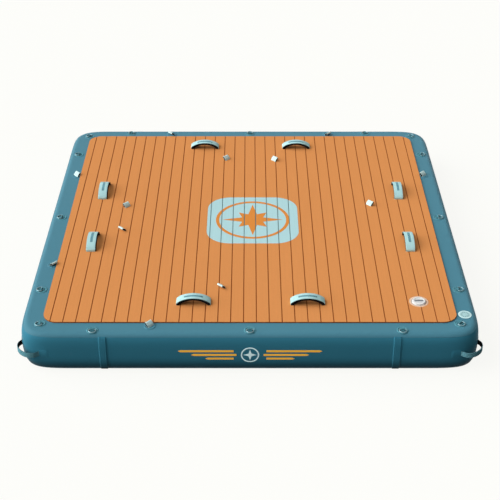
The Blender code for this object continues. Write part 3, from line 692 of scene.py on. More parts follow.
def sealed(name, builder):
    """The mesh of a closed bmesh, its faces turned outwards."""
    bmesh.ops.recalc_face_normals(builder, faces=builder.faces)
    mesh = bpy.data.meshes.new(name)
    builder.to_mesh(mesh)
    builder.free()
    return mesh


def bridged(builder, near, far):
    """Faces between two rings of as many points."""
    turned = zip(near, near[1:] + near[:1], far[1:] + far[:1], far)
    return [builder.faces.new(corners) for corners in turned]


def turns_round(steps):
    return [2 * math.pi * step / steps for step in range(steps)]


def moved(mesh, matrix):
    mesh.transform(matrix)
    mesh.update()
    return mesh


def place_at(spot, turn=0.0):
    return Matrix.Translation(spot) @ Matrix.Rotation(turn, 4, "Z")


def joined(name, meshes):
    """One mesh of several, with their maps; all share the first one's materials."""
    builder = bmesh.new()
    for mesh in meshes:
        builder.from_mesh(mesh)
    result = bpy.data.meshes.new(name)
    for finish in meshes[0].materials:
        result.materials.append(finish)
    builder.to_mesh(result)
    builder.free()
    return result


def prism(name, outline, low, high):
    """A flat outline raised from low to high."""
    builder = bmesh.new()
    base, top = ([builder.verts.new((x, y, z)) for x, y in outline] for z in (low, high))
    bridged(builder, base, top)
    builder.faces.new(base[::-1])
    builder.faces.new(top)
    return sealed(name, builder)


def circle(radius, steps, centre=(0.0, 0.0)):
    x, y = centre
    return [(x + radius * math.cos(t), y + radius * math.sin(t)) for t in turns_round(steps)]


def star(centre, reaches, steps):
    """Outline of a star, clockwise from its top point; its reaches repeat round it."""
    points = []
    for step, turn in enumerate(turns_round(steps)):
        reach = reaches[step % len(reaches)]
        points.append((centre[0] + reach * math.sin(turn), centre[1] + reach * math.cos(turn)))
    return points


def cut(mesh, *cutters):
    """Take solids away from a closed mesh."""
    for cutter in cutters:
        tool = mesh_object("cutter", cutter)
        mesh = finished(mesh, "BOOLEAN", object=tool, operation="DIFFERENCE", solver="EXACT")
        bpy.data.objects.remove(tool)
    return mesh


def rounded_square(half, radius, steps=24):
    """Outline of a square with rounded corners, anticlockwise."""
    centre = half - radius
    points = []
    for corner in range(4):
        for step in range(steps + 1):
            turn = step / steps * QUARTER
            x = centre + radius * max(math.cos(turn), 0.0)
            y = centre + radius * max(math.sin(turn), 0.0)
            points.append(((x, y), (-y, x), (-x, -y), (y, -x))[corner])
    return points


def lathe(name, profile, steps):
    """A turned solid from its half section, run from the axis or round a closed section."""
    builder = bmesh.new()
    rings = []
    for radius, z in profile:
        turns = turns_round(steps) if radius > MERGE else [0.0]
        rings.append([builder.verts.new((radius * math.cos(t), radius * math.sin(t), z)) for t in turns])
    pairs = list(zip(rings, rings[1:]))
    if len(rings[0]) > 1:
        pairs.append((rings[-1], rings[0]))
    for near, far in pairs:
        for start in range(steps):
            end = (start + 1) % steps
            around = ((near, start), (near, end), (far, end), (far, start))
            corners = list(dict.fromkeys(ring[index % len(ring)] for ring, index in around))
            if len(corners) > 2:
                builder.faces.new(corners)
    return sealed(name, builder)


def softened(profile, radius, steps=3):
    """A section with each of its corners rounded; the first and last points stay."""
    result = [profile[0]]
    for before, corner, after in zip(profile, profile[1:], profile[2:]):
        here = Vector(corner)
        back, ahead = Vector(before) - here, Vector(after) - here
        reach = min(radius, back.length / 2.1, ahead.length / 2.1)
        start, end = here + back.normalized() * reach, here + ahead.normalized() * reach
        for step in range(steps + 1):
            share = step / steps
            first, second = start.lerp(here, share), here.lerp(end, share)
            result.append(tuple(first.lerp(second, share)))
    result.append(profile[-1])
    return result


def turned(name, section, soft, steps, spot):
    """A smooth turned solid with softened corners, set down at a spot."""
    return smooth(moved(lathe(name, softened(section, soft), steps), place_at(spot)))


def tape_section(width, low=0.0, high=1.0, edge=0.0008):
    """Cross section of a tape: distance across it, and depth from its outer to its inner face."""
    half = width / 2
    shoulder = (high - low) * 0.35
    corner = (
        (half - edge, low),
        (half - edge * 0.3, low + shoulder * 0.3),
        (half, low + shoulder),
        (half, high - shoulder),
        (half - edge * 0.3, high - shoulder * 0.3),
        (half - edge, high),
    )
    middle = (width / 4, low), (0.0, low), (-width / 4, low)
    back = (-width / 4, high), (0.0, high), (width / 4, high)
    left = tuple((-across, depth) for across, depth in corner)
    return middle + left + back + corner[::-1]


def sloped_section(half, slope):
    """Cross section of a strip that slopes down to what it is welded to, along both sides."""
    return (-half, 1.0), (-half + slope, 0.0), (half - slope, 0.0), (half, 1.0)


def tape(name, outer, inner, across, section):
    """A tape between an outer and an inner line, with a map in metres along and across it."""
    builder = bmesh.new()
    grain = builder.loops.layers.uv.new("UVMap")
    outer, inner, across = list(map(Vector, outer)), list(map(Vector, inner)), Vector(across)
    thickness = (outer[0] - inner[0]).length
    rings = []
    for out, back in zip(outer, inner):
        rings.append([builder.verts.new(out.lerp(back, depth) + across * shift) for shift, depth in section])
    run = [0.0]
    for start, end in zip(outer, outer[1:]):
        run.append(run[-1] + (end - start).length)
    girth = [0.0]
    for here, following in zip(section, section[1:] + section[:1]):
        step = (here[0] - following[0], (here[1] - following[1]) * thickness)
        girth.append(girth[-1] + math.hypot(*step))
    for index, (near, far) in enumerate(zip(rings, rings[1:])):
        here, there = run[index], run[index + 1]
        for start, face in enumerate(bridged(builder, near, far)):
            low, high = girth[start], girth[start + 1]
            for loop, place in zip(face.loops, ((here, low), (here, high), (there, high), (there, low))):
                loop[grain].uv = place
    for ring in (rings[0], rings[-1]):
        for loop, (shift, depth) in zip(builder.faces.new(ring).loops, section):
            loop[grain].uv = (depth * thickness, shift)
    return smooth(sealed(name, builder), 50.0)


def offset_line(line, distance):
    """A plane line in X and Z moved sideways to its left."""
    result = []
    for index, point in enumerate(line):
        before, after = line[max(index - 1, 0)], line[min(index + 1, len(line) - 1)]
        run = Vector((after[0] - before[0], after[1] - before[1])).normalized()
        result.append((point[0] - run.y * distance, point[1] + run.x * distance))
    return result


def stand_up(line):
    """Points of a plane line as X and Z in space."""
    return [(x, 0.0, z) for x, z in line]


def wire_ring(builder, spot, side, radius, sides):
    """A ring of points round a wire that lies level; side points away from its run."""
    return [
        builder.verts.new(spot + side * radius * math.cos(t) + Vector((0, 0, radius * math.sin(t))))
        for t in turns_round(sides)
    ]


# Geometry node trees


def build_hull_band(name):
    """A band of the hull between two section angles, superelliptic in section and in plan."""
    graph = ShapeTree(
        name,
        Half_Side=1.0,
        Corner_Radius=0.3,
        Corner_Power=5.0,
        Edge_Depth=0.045,
        Middle_Height=0.1,
        Upper_Power=3.0,
        Lower_Power=3.0,
        Start_Angle=QUARTER,
        End_Angle=0.0,
        Outset=0.0,
        Corner_Steps=24,
        Rows=12,
        Filled=0,
    )
    given, math_ = graph.given, graph.math
    steps, filled, rows = given["Corner Steps"], given["Filled"], given["Rows"]
    per_corner = math_("ADD", steps, 1.0)
    last_column = math_("MULTIPLY", per_corner, 4.0)
    last_row = math_("ADD", rows, filled)
    grid = graph.put(
        "GeometryNodeMeshGrid",
        {
            "Size X": last_column,
            "Size Y": last_row,
            "Vertices X": math_("ADD", last_column, 1.0),
            "Vertices Y": math_("ADD", last_row, 1.0),
        },
    )
    flat = graph.parts(graph.put("GeometryNodeInputPosition"))
    column = math_("ROUND", math_("MULTIPLY_ADD", last_column, 0.5, flat[0]))
    row = math_("ROUND", math_("MULTIPLY_ADD", last_row, 0.5, flat[1]))

    corner = math_("FLOOR", math_("DIVIDE", math_("ADD", column, 0.01), per_corner))
    step = math_("SUBTRACT", column, math_("MULTIPLY", corner, per_corner))
    plan_turn = math_("MULTIPLY", math_("DIVIDE", step, steps), QUARTER)
    plan_share = math_("DIVIDE", 2.0, given["Corner Power"])
    across = math_("POWER", math_("MAXIMUM", math_("COSINE", plan_turn), 0.0), plan_share)
    ahead = math_("POWER", math_("MAXIMUM", math_("SINE", plan_turn), 0.0), plan_share)

    row_share = math_("MAXIMUM", math_("DIVIDE", math_("SUBTRACT", row, filled), rows), 0.0)
    sweep = math_("SUBTRACT", given["End Angle"], given["Start Angle"])
    section_turn = math_("MULTIPLY_ADD", row_share, sweep, given["Start Angle"])
    sine = math_("SINE", section_turn)
    is_upper = math_("GREATER_THAN", sine, 0.0)
    power_step = math_("SUBTRACT", given["Upper Power"], given["Lower Power"])
    section_power = math_("MULTIPLY_ADD", is_upper, power_step, given["Lower Power"])
    section_share = math_("DIVIDE", 2.0, section_power)
    out_share = math_("POWER", math_("MAXIMUM", math_("COSINE", section_turn), 0.0), section_share)
    rise_share = math_("POWER", math_("ABSOLUTE", sine), section_share)
    out = math_("MULTIPLY", math_("ADD", given["Edge Depth"], given["Outset"]), out_share)
    rise = math_("MULTIPLY", math_("ADD", given["Middle Height"], given["Outset"]), rise_share)
    height = math_("MULTIPLY_ADD", math_("SIGN", sine), rise, given["Middle Height"])

    centre = math_("SUBTRACT", given["Half Side"], given["Corner Radius"])
    reach = math_("ADD", math_("SUBTRACT", given["Corner Radius"], given["Edge Depth"]), out)
    spread = math_("MINIMUM", math_("SUBTRACT", math_("ADD", row, 1.0), filled), 1.0)
    x = math_("MULTIPLY", math_("MULTIPLY_ADD", reach, across, centre), spread)
    y = math_("MULTIPLY", math_("MULTIPLY_ADD", reach, ahead, centre), spread)
    feeds = {"Vector": graph.vector(x, y, height), "Angle": math_("MULTIPLY", corner, QUARTER)}
    place = graph.put("ShaderNodeVectorRotate", feeds, rotation_type="Z_AXIS")
    shaped = graph.put("GeometryNodeSetPosition", {0: grid, "Position": place})
    return graph.end(graph.put("GeometryNodeMergeByDistance", {0: shaped, "Distance": MERGE}))


def build_bars_in_a_row(name):
    """Equal bars side by side along X, for routed grooves."""
    graph = ShapeTree(name, Count=8, Spacing=0.05, Bar_Size=VECTOR, Height=0.2)
    given = graph.given
    half_run = graph.math("MULTIPLY", graph.math("SUBTRACT", given["Count"], 1.0), -0.5)
    start = graph.vector(graph.math("MULTIPLY", half_run, given["Spacing"]), 0.0, given["Height"])
    feeds = {"Count": given["Count"], "Start Location": start, "Offset": graph.vector(given["Spacing"])}
    line = graph.put("GeometryNodeMeshLine", feeds, mode="OFFSET")
    bar = graph.put("GeometryNodeMeshCube", {"Size": given["Bar Size"]})
    return graph.end(graph.on_points(line, bar))


def build_pieces_at_places(name):
    """One piece set down at every point, turned about Z by the point's turn."""
    graph = ShapeTree(name, Places=GEOMETRY, Piece=OBJECT)
    given = graph.given
    single = graph.add("GeometryNodeObjectInfo", {"Object": given["Piece"]}).outputs["Geometry"]
    turn = graph.put("GeometryNodeInputNamedAttribute", {"Name": "turn"}, data_type="FLOAT")
    return graph.end(graph.on_points(given["Places"], single, Rotation=graph.about_z(turn)))


def build_stitch_row(name):
    """Stitches laid end to end along lines."""
    graph = ShapeTree(name, Lines=GEOMETRY, Pitch=0.004, Stitch_Size=VECTOR)
    given = graph.given
    curve = graph.put("GeometryNodeMeshToCurve", {0: given["Lines"]})
    feeds = {0: curve, "Length": given["Pitch"]}
    spaced = graph.put("GeometryNodeResampleCurve", feeds, mode="LENGTH")
    bead = graph.put("GeometryNodeMeshIcoSphere", {"Radius": 0.5, "Subdivisions": 1})
    along = graph.put("GeometryNodeInputTangent")
    facing = graph.put("FunctionNodeAlignRotationToVector", {"Vector": along}, axis="X")
    return graph.end(graph.on_points(spaced, bead, Rotation=facing, Scale=given["Stitch Size"]))


def build_ribs_round(name):
    """Upright ribs round a circle about Z."""
    graph = ShapeTree(name, Count=24, Radius=0.03, Rib_Size=VECTOR, Height=0.0)
    given = graph.given
    ring = graph.put("GeometryNodeMeshCircle", {"Vertices": given["Count"], "Radius": given["Radius"]})
    place = graph.parts(graph.put("GeometryNodeInputPosition"))
    facing = graph.about_z(graph.math("ARCTAN2", place[1], place[0]))
    rib = graph.put("GeometryNodeMeshCylinder", {"Vertices": 6, "Radius": 0.5, "Depth": 1.0})
    ribs = graph.on_points(ring, rib, Rotation=facing, Scale=given["Rib Size"])
    lift = graph.vector(0.0, 0.0, given["Height"])
    return graph.end(graph.put("GeometryNodeTransform", {0: ribs, "Translation": lift}))


TREES = {
    "mottle": build_mottle,
    "base_cloth": build_base_cloth,
    "webbing_weave": build_webbing_weave,
    "foam_grain": build_foam_grain,
    "scuffs": build_scuffs,
    "hull_band": build_hull_band,
    "bars_in_a_row": build_bars_in_a_row,
    "pieces_at_places": build_pieces_at_places,
    "stitch_row": build_stitch_row,
    "ribs_round": build_ribs_round,
}


# Hull

SKIN_ROWS, WALL_ROWS, LAP_ROWS = 26, 44, 8
SPLICE_LIMIT, SPLICE_HALF_STEPS = math.radians(54.0), 20
PRINT_RISE, PRINT_SINK = 0.0005, 0.00005
PRINT_CUTS, PRINT_CUT_LOW, PRINT_CUT_STEP = 40, 0.02, 0.004
TRIM_Z = MIDDLE_Z - 0.002
TRIM_HALF, TRIM_TIP = 0.0055, 0.012
TRIM_LINES = ((0.021, 0.075, 0.330), (0.0, 0.062, 0.270), (-0.021, 0.075, 0.205))
ROUNDEL_STAR, ROUNDEL_RING = (0.030, 0.010), (0.036, 0.042)


def hull_section(hull, turn, outset=0.0):
    """Reach past the flat and height of the hull's section at an angle."""
    power = hull.upper_power if turn > 0 else hull.lower_power
    out = (hull.edge_depth + outset) * max(math.cos(turn), 0.0) ** (2 / power)
    rise = (MIDDLE_Z + outset) * abs(math.sin(turn)) ** (2 / power)
    return hull.half_side - hull.edge_depth + out, MIDDLE_Z + math.copysign(rise, turn)


def hull_band(name, hull, start, end, rows, finish, thickness, filled=0, outset=0.0):
    """A sheet of the hull from one section angle to another, its face turned away from the middle."""
    mesh = grown(
        name,
        "hull_band",
        Half_Side=hull.half_side,
        Corner_Radius=hull.corner_radius,
        Corner_Power=hull.corner_power,
        Edge_Depth=hull.edge_depth,
        Middle_Height=MIDDLE_Z,
        Upper_Power=hull.upper_power,
        Lower_Power=hull.lower_power,
        Start_Angle=start,
        End_Angle=end,
        Outset=outset,
        Corner_Steps=hull.corner_steps,
        Rows=rows,
        Filled=filled,
        Material=finish,
    )
    middle = Vector((0.0, 0.0, MIDDLE_Z))

    def face_outwards(builder):
        bmesh.ops.remove_doubles(builder, verts=builder.verts, dist=MERGE)
        bmesh.ops.recalc_face_normals(builder, faces=builder.faces)
        faces = builder.faces
        facing = sum(f.normal.dot(f.calc_center_median() - middle) * f.calc_area() for f in faces)
        if facing < 0:
            bmesh.ops.reverse_faces(builder, faces=faces)

    return finished(edited(mesh, face_outwards), "SOLIDIFY", thickness=thickness, offset=-1.0)


def make_hull(hull):
    """Both skins, the side wall and the laps where they are welded."""
    cloth, seam, rise = skin_cloth(hull), hull.seam, hull.lap_rise
    upper = hull_band("upper_skin", hull, QUARTER, seam, SKIN_ROWS, cloth, hull.skin, filled=1)
    bore = prism("bore", circle(VALVE_BORE, COARSE_STEPS, (VALVE.x, VALVE.y)), MIDDLE_Z, PAD_TOP)
    upper = cut(upper, bore)
    lower = hull_band("lower_skin", hull, -QUARTER, -seam, SKIN_ROWS, cloth, hull.skin, filled=1)
    wall = hull_band("side_wall", hull, seam, -seam, WALL_ROWS, wall_cloth_painted_tone(hull), hull.skin)
    laps = []
    for sign in (1, -1):
        end = sign * (seam - hull.lap_angle)
        lap = hull_band("laps", hull, sign * seam, end, LAP_ROWS, cloth, rise, outset=rise)
        laps.append(smooth(lap))
    piece("upper_skin", smooth(upper), "coated_teal", replaced=("top_skin",))
    piece("lower_skin", smooth(lower), "coated_teal", replaced=("bottom_skin",))
    walls = [f"side_wall_{side}" for side in HEADINGS]
    piece("side_wall", smooth(wall), "coated_teal", replaced=walls)
    piece("seam_laps", joined("seam_laps", laps), "coated_teal")


def make_splices(hull):
    """Cover strips over the side wall's joints, front and rear."""
    section = sloped_section(hull.splice_width / 2, hull.splice_slope)
    turns = [SPLICE_LIMIT * (1 - step / SPLICE_HALF_STEPS) for step in range(2 * SPLICE_HALF_STEPS + 1)]
    outer, inner = (
        [(0.0, *hull_section(hull, turn, outset)) for turn in turns]
        for outset in (hull.splice_rise, 0.0)
    )
    for side, sideways in (("front", -1), ("rear", 1)):
        for word, sign in (("left", -1), ("right", 1)):
            placing = Matrix.Rotation(HEADINGS[side], 4, "Z")
            placing = placing @ Matrix.Translation((SPLICE_X * sign * sideways, 0, 0))
            strip = smooth(moved(tape("splice", outer, inner, (1, 0, 0), section), placing), 20.0)
            node = f"splice_{side}_{word}"
            piece(f"cover_strip_{side}_{word}", strip, "coated_teal", wall_cloth_painted_tone(hull), replaced=(node,))


def on_wall(hull, x, z, proud):
    """A place on the front wall, this far proud of it."""
    power = hull.upper_power if z > MIDDLE_Z else hull.lower_power
    sine = min(abs(z - MIDDLE_Z) / MIDDLE_Z, 1.0) ** (power / 2)
    out = hull.edge_depth * math.cos(math.asin(sine)) ** (2 / power)
    return Vector((x, -(hull.half_side - hull.edge_depth + out + proud), z))


def wall_print(name, hull, outlines, finish):
    """Flat shapes in X and Z, cut across in steps and laid on the curved front wall."""

    def lay(builder):
        for index in range(PRINT_CUTS):
            every = builder.verts[:] + builder.edges[:] + builder.faces[:]
            level = (0, PRINT_CUT_LOW + PRINT_CUT_STEP * index, 0)
            bmesh.ops.bisect_plane(builder, geom=every, plane_co=level, plane_no=(0, 1, 0))
        for vert in builder.verts:
            x, z, face = vert.co
            vert.co = on_wall(hull, x, z, PRINT_RISE if face > 0.5 else PRINT_SINK)
        bmesh.ops.recalc_face_normals(builder, faces=builder.faces)

    meshes = [edited(prism(name, outline, 0.0, 1.0), lay) for outline in outlines]
    piece(name, smooth(joined(name, meshes)), "coated_teal", finish)


def make_front_trim(hull, fittings):
    """A plain nautical trim on the front wall: a roundel between tapering lines."""
    # Both prints glow by emission: painted light, though they are no lamp.
    pale = material("pale_print", coated_fabric, fittings.trim_pale, glow=fittings.trim_painted_glow)
    warm = material("warm_print", coated_fabric, fittings.trim_warm, glow=fittings.trim_painted_glow)
    lines = []
    for sign in (-1, 1):
        for lift, start, end in TRIM_LINES:
            z, tip = TRIM_Z + lift, end - TRIM_TIP
            low, high = z - TRIM_HALF, z + TRIM_HALF
            outline = [(start, low), (tip, low), (end, z), (tip, high), (start, high)]
            lines.append([(sign * x, height) for x, height in outline][::sign])
    wall_print("front_trim_lines", hull, lines, warm)
    shapes = [star((0.0, TRIM_Z), ROUNDEL_STAR, 8)]
    steps, (inner, outer) = 24, ROUNDEL_RING
    turns = [2 * math.pi * step / steps for step in range(steps + 1)]
    for first, second in zip(turns, turns[1:]):
        corners = (inner, first), (outer, first), (outer, second), (inner, second)
        shapes.append([(reach * math.sin(t), TRIM_Z + reach * math.cos(t)) for reach, t in corners])
    wall_print("front_trim_roundel", hull, shapes, pale)


# Deck

OVERCUT = 0.004
RECESS_RADIUS, RECESS_DEPTH = 0.0462, 0.0014
HOLE_RADIUS, HOLE_OVERCUT = 0.0352, 0.003
SURROUND_INNER, SURROUND_OUTER = 0.0360, 0.0455
SURROUND_LOW, SURROUND_HIGH = PAD_TOP - 0.00135, PAD_TOP - 0.0005
STAR_SHARES = (1.0, 0.38, 0.66, 0.38)
STAR_RING = (1.12, 1.23)


def groove_bars(deck):
    """The bars that stand where the deck's grooves are routed."""
    each_side = round((PAD_HALF - deck.groove_width) / deck.plank_spacing)
    depth = deck.groove_depth + OVERCUT / 2
    return grown(
        "groove_bars",
        "bars_in_a_row",
        Count=2 * each_side,
        Spacing=deck.plank_spacing,
        Bar_Size=(deck.groove_width, 2 * PAD_HALF + 0.02, depth),
        Height=PAD_TOP - deck.groove_depth + depth / 2,
    )


def rounded_cut(mesh, edge):
    """A cut solid with its sharp edges rounded."""
    limit = math.radians(50)
    mesh = finished(mesh, "BEVEL", width=edge, segments=2, limit_method="ANGLE", angle_limit=limit)
    return smooth(mesh, 18.0)


def panel_outline(deck, inset=0.0):
    shape = rounded_square(deck.panel_side / 2 - inset, deck.panel_corner - inset)
    return [(x + PANEL.x, y + PANEL.y) for x, y in shape]


def flat_band(inner, outer, low, high):
    """Half section of a flat ring."""
    return [(inner, low), (outer, low), (outer, high), (inner, high)]


def make_deck(deck):
    """The grooved foam pad, with its window and the valve's recess."""
    low, high, at_valve = PAD_LOW.z - OVERCUT, PAD_TOP + OVERCUT, (VALVE.x, VALVE.y)
    pad = prism("pad", rounded_square(PAD_HALF, deck.corner_radius), PAD_LOW.z, PAD_TOP)
    window = prism("window", panel_outline(deck), low, high)
    recess = prism("recess", circle(RECESS_RADIUS, ROUND_STEPS, at_valve), PAD_TOP - RECESS_DEPTH, high)
    hole = prism("hole", circle(HOLE_RADIUS, ROUND_STEPS, at_valve), low, PAD_TOP + HOLE_OVERCUT)
    pad = rounded_cut(cut(pad, window, recess, hole, groove_bars(deck)), deck.edge)
    foam = material("deck_foam_planks", deck_foam, deck.foam, groove=deck.groove)
    pad = piece("foam_pad", pad, "deck_foam", foam, replaced=("deck_pad",))

    section = flat_band(SURROUND_INNER, SURROUND_OUTER, SURROUND_LOW, SURROUND_HIGH)
    surround = turned("surround", section, 0.0003, FINE_STEPS, (VALVE.x, VALVE.y, 0.0))
    piece("valve_surround", surround, "deck_foam", material("surround_foam", deck_foam, deck.surround))


def make_panel(deck):
    """The pale panel and the compass star inlaid in it."""
    # The panel's grooves get painted shade: its foam darkened to 45 per cent.
    foam = material("panel_foam_pale", deck_foam, deck.panel, groove=darker(deck.panel, 0.45))
    panel = cut(prism("panel", panel_outline(deck, GAP), PAD_LOW.z, PAD_TOP), groove_bars(deck))
    panel = rounded_cut(panel, deck.edge)
    panel = piece("pale_panel", panel, "panel_foam", foam, replaced=("centre_panel",))

    low, high = PAD_TOP, PAD_TOP + deck.inlay_rise
    reaches = [deck.star_reach * share for share in STAR_SHARES]
    inner, outer = (deck.star_reach * share for share in STAR_RING)
    compass = prism("compass", star((PANEL.x, PANEL.y), reaches, 16)[::-1], low, high)
    ring = lathe("ring", flat_band(inner, outer, low, high), FINE_STEPS)
    moved(ring, place_at((PANEL.x, PANEL.y, 0.0)))
    inlay = joined("inlay", [cut(shape, groove_bars(deck)) for shape in (compass, ring)])
    piece("compass_inlay", inlay, "deck_foam", material("inlay_foam", deck_foam, deck.inlay))


# Webbing

SEWN_OUT, STRIPE_RISE = 0.0001, 0.0003
BAND_SHIFTS, BAND_SHARE = (-0.0050, -0.0025, 0.0, 0.0025, 0.0050), 0.56
EDGE_INSET, CARRY_INSET = 0.0042, 0.0035
BAND_STITCH = (0.84, 0.0021, 0.0014)
EDGE_STITCH = (0.7, 0.0010, 0.0008)
CARRY_STITCH = (0.75, 0.0011, 0.0009)

# Corner straps: angles round the corner, and depths from the hull's face.
DEGREE = math.radians(1.0)
STRAP_STEPS, SEWN_STEPS, BASE_STEPS, COVER_STEPS = 84, 60, 14, 28
PRESS_FADE, SEWN_PAST = 0.8 * DEGREE, 0.4 * DEGREE
BASE_LEAD, BASE_PAST = 1.6 * DEGREE, 4.0 * DEGREE
COVER_LEAD, COVER_SLOPE, COVER_SHORT = 2.2 * DEGREE, 2.0 * DEGREE, 0.9 * DEGREE
WELD_SINK, BASE_RISE, COVER_RISE = 0.0002, 0.0005, 0.0006
BASE_WIDER, COVER_WIDER, COVER_EDGE = 0.020, 0.0085, 0.0075

# Tabs and round patches.
TAB_HALF, TAB_FOOT_REACH = 0.0006, 0.0094
LIP_FOOT, LIP_INNER, LIP_OUTER = 0.0078, 0.0058, 0.0040
TAB_HEADINGS = {
    "deck_tab_rear_left": (-1, 1),
    "deck_tab_rear_right": (1, 1),
    "deck_tab_left_rear": (-1, 1),
    "deck_tab_left_front": (-1, -1),
    "deck_tab_right_rear": (1, 1),
    "deck_tab_front_left": (-1, -1),
    "rim_tab_rear_left": (-1, -1),
    "rim_tab_rear_right": (1, -1),
    "rim_tab_left_rear": (1, 1),
    "rim_tab_left_front": (1, -1),
    "rim_tab_right_rear": (-1, 1),
    "rim_tab_front_left": (-1, 1),
}


def arch(half, rise, power, steps=40):
    """A handle's side view: an arch from -half to half."""
    line = []
    for step in range(steps + 1):
        share = -math.cos(math.pi * step / steps)
        line.append((half * share, rise * max(1 - share * share, 0.0) ** power))
    return line


def line_mesh(name, lines):
    """Open lines of points as edges."""
    verts, edges = [], []
    for line in lines:
        first = len(verts)
        verts.extend(tuple(point) for point in line)
        edges.extend((index, index + 1) for index in range(first, len(verts) - 1))
    mesh = bpy.data.meshes.new(name)
    mesh.from_pydata(verts, edges, [])
    return mesh


def stitches(name, lines, finish, pitch, size, slot):
    """A piece of stitches along lines; size is a share of the pitch, a width and a height."""
    long, *rest = size
    mesh = line_mesh(name, lines)
    mesh = grown(name, "stitch_row", mesh, Pitch=pitch, Stitch_Size=(pitch * long, *rest), Material=finish)
    piece(name, smooth(mesh, 80.0), slot)


def set_down(name, mesh, places, finish, slot, degrees=32.0, replaced=()):
    """A piece of one mesh at many places, each a spot and a turn."""
    dots = bpy.data.meshes.new(name)
    dots.from_pydata([tuple(spot) for spot, _ in places], [], [])
    turns = dots.attributes.new("turn", "FLOAT", "POINT")
    turns.data.foreach_set("value", [turn for _, turn in places])
    single = mesh_object("single", mesh)
    result = grown(name, "pieces_at_places", dots, Piece=single, Material=finish)
    bpy.data.objects.remove(single)
    piece(name, smooth(result, degrees), slot, replaced=replaced)


def handle_lines(web, half):
    """Outer and inner line of a handle: upright ends, an arch between them, padding below."""
    end, foot, strap = web.handle_end, half - web.handle_foot, web.handle_strap
    outer = [(x, z + end) for x, z in arch(half, web.handle_rise - end, web.handle_shape)]
    ends = [0.0, 0.4 * end, 0.8 * end]
    outer = [(-half, z) for z in ends] + outer + [(half, z) for z in reversed(ends)]
    inner = arch(foot, web.handle_rise - strap, web.handle_shape)
    under = [(-foot, -0.0003), (-foot, -0.0002), (-foot, -0.0001)]
    inner = under + inner + [(-x, z) for x, z in reversed(under)]
    return stand_up(outer), stand_up(inner)


def make_grab_handles(web):
    """Eight handles bowed up from the deck: padded underneath, webbing on top, sewn through."""
    slot, seat, width = "handle_webbing", web.handle_cloth, web.handle_width
    cloth = material("handle_cloth", webbing, web.handle)
    layers = (
        ("", cloth, tape_section(width - 0.0008, 0.0, seat)),
        # Partly painted shade: the black padding is made thick so that it stands where the shade under the
        # arch falls.
        ("_padding", black_knit_and_shade(web), tape_section(width, seat + 0.01, 1.0, 0.0012)),
    )
    edge_shift = width / 2 - EDGE_INSET
    stripe_section = tape_section(web.stripe_width, edge=0.0003)
    bands, edges, stripes = [], [], []
    for side, turn in HEADINGS.items():
        half = (web.end_handle if side in ("front", "rear") else web.side_handle) / 2
        outer, inner = handle_lines(web, half)
        sewn = [Vector(point) + Vector((0, 0, SEWN_OUT)) for point in outer]
        band = [point for point in sewn if abs(point.x) < half * BAND_SHARE]
        raised = [point + Vector((0, 0, STRIPE_RISE)) for point in band]
        for word in "ab":
            node = f"grab_handle_{side}_{word}"
            spot = node_centre(node)
            spot.z = PAD_TOP + GAP
            placing = place_at(spot, turn)
            for suffix, finish, section in layers:
                slip = -web.handle_slip if suffix and side == "left" else 0.0
                section = [(across + slip, depth) for across, depth in section]
                mesh = moved(tape(node, outer, inner, (0, 1, 0), section), placing)
                replaced = () if suffix else (node,)
                piece(f"handle_{side}_{word}{suffix}", mesh, slot, finish, replaced=replaced)
            stripes.append(moved(tape("stripe", raised, band, (0, 1, 0), stripe_section), placing))
            shifted = [(bands, band, shift) for shift in BAND_SHIFTS]
            shifted += [(edges, sewn[6:-6], shift) for shift in (-edge_shift, edge_shift)]
            for rows, line, shift in shifted:
                rows.append([placing @ (point + Vector((0, shift, 0))) for point in line])
    dark = material("dark_thread", webbing, web.thread)
    pale = material("pale_thread", webbing, darker(web.handle, 0.9))
    stripe = material("stripe_cloth", webbing, web.stripe)
    piece("handle_stripes", joined("handle_stripes", stripes), slot, stripe)
    stitches("handle_band_stitches", bands, dark, web.stitch, BAND_STITCH, slot)
    stitches("handle_edge_stitches", edges, pale, web.stitch, EDGE_STITCH, slot)


def carry_reach(web, hull, turn):
    """Distance of the hull's face and of the carry strap's inner face from the corner's centre."""
    middle = QUARTER / 2
    share = min(abs(turn - middle) / (middle - web.carry_foot), 1.0)
    bow = (1 - share**3.0) ** 0.5
    spread = abs(math.cos(turn)) ** hull.corner_power + abs(math.sin(turn)) ** hull.corner_power
    face = hull.corner_radius / spread ** (1 / hull.corner_power)
    return face, face + GAP + (web.carry_standoff - web.carry_strap) * bow


def clipped(share):
    return min(max(share, 0.0), 1.0)


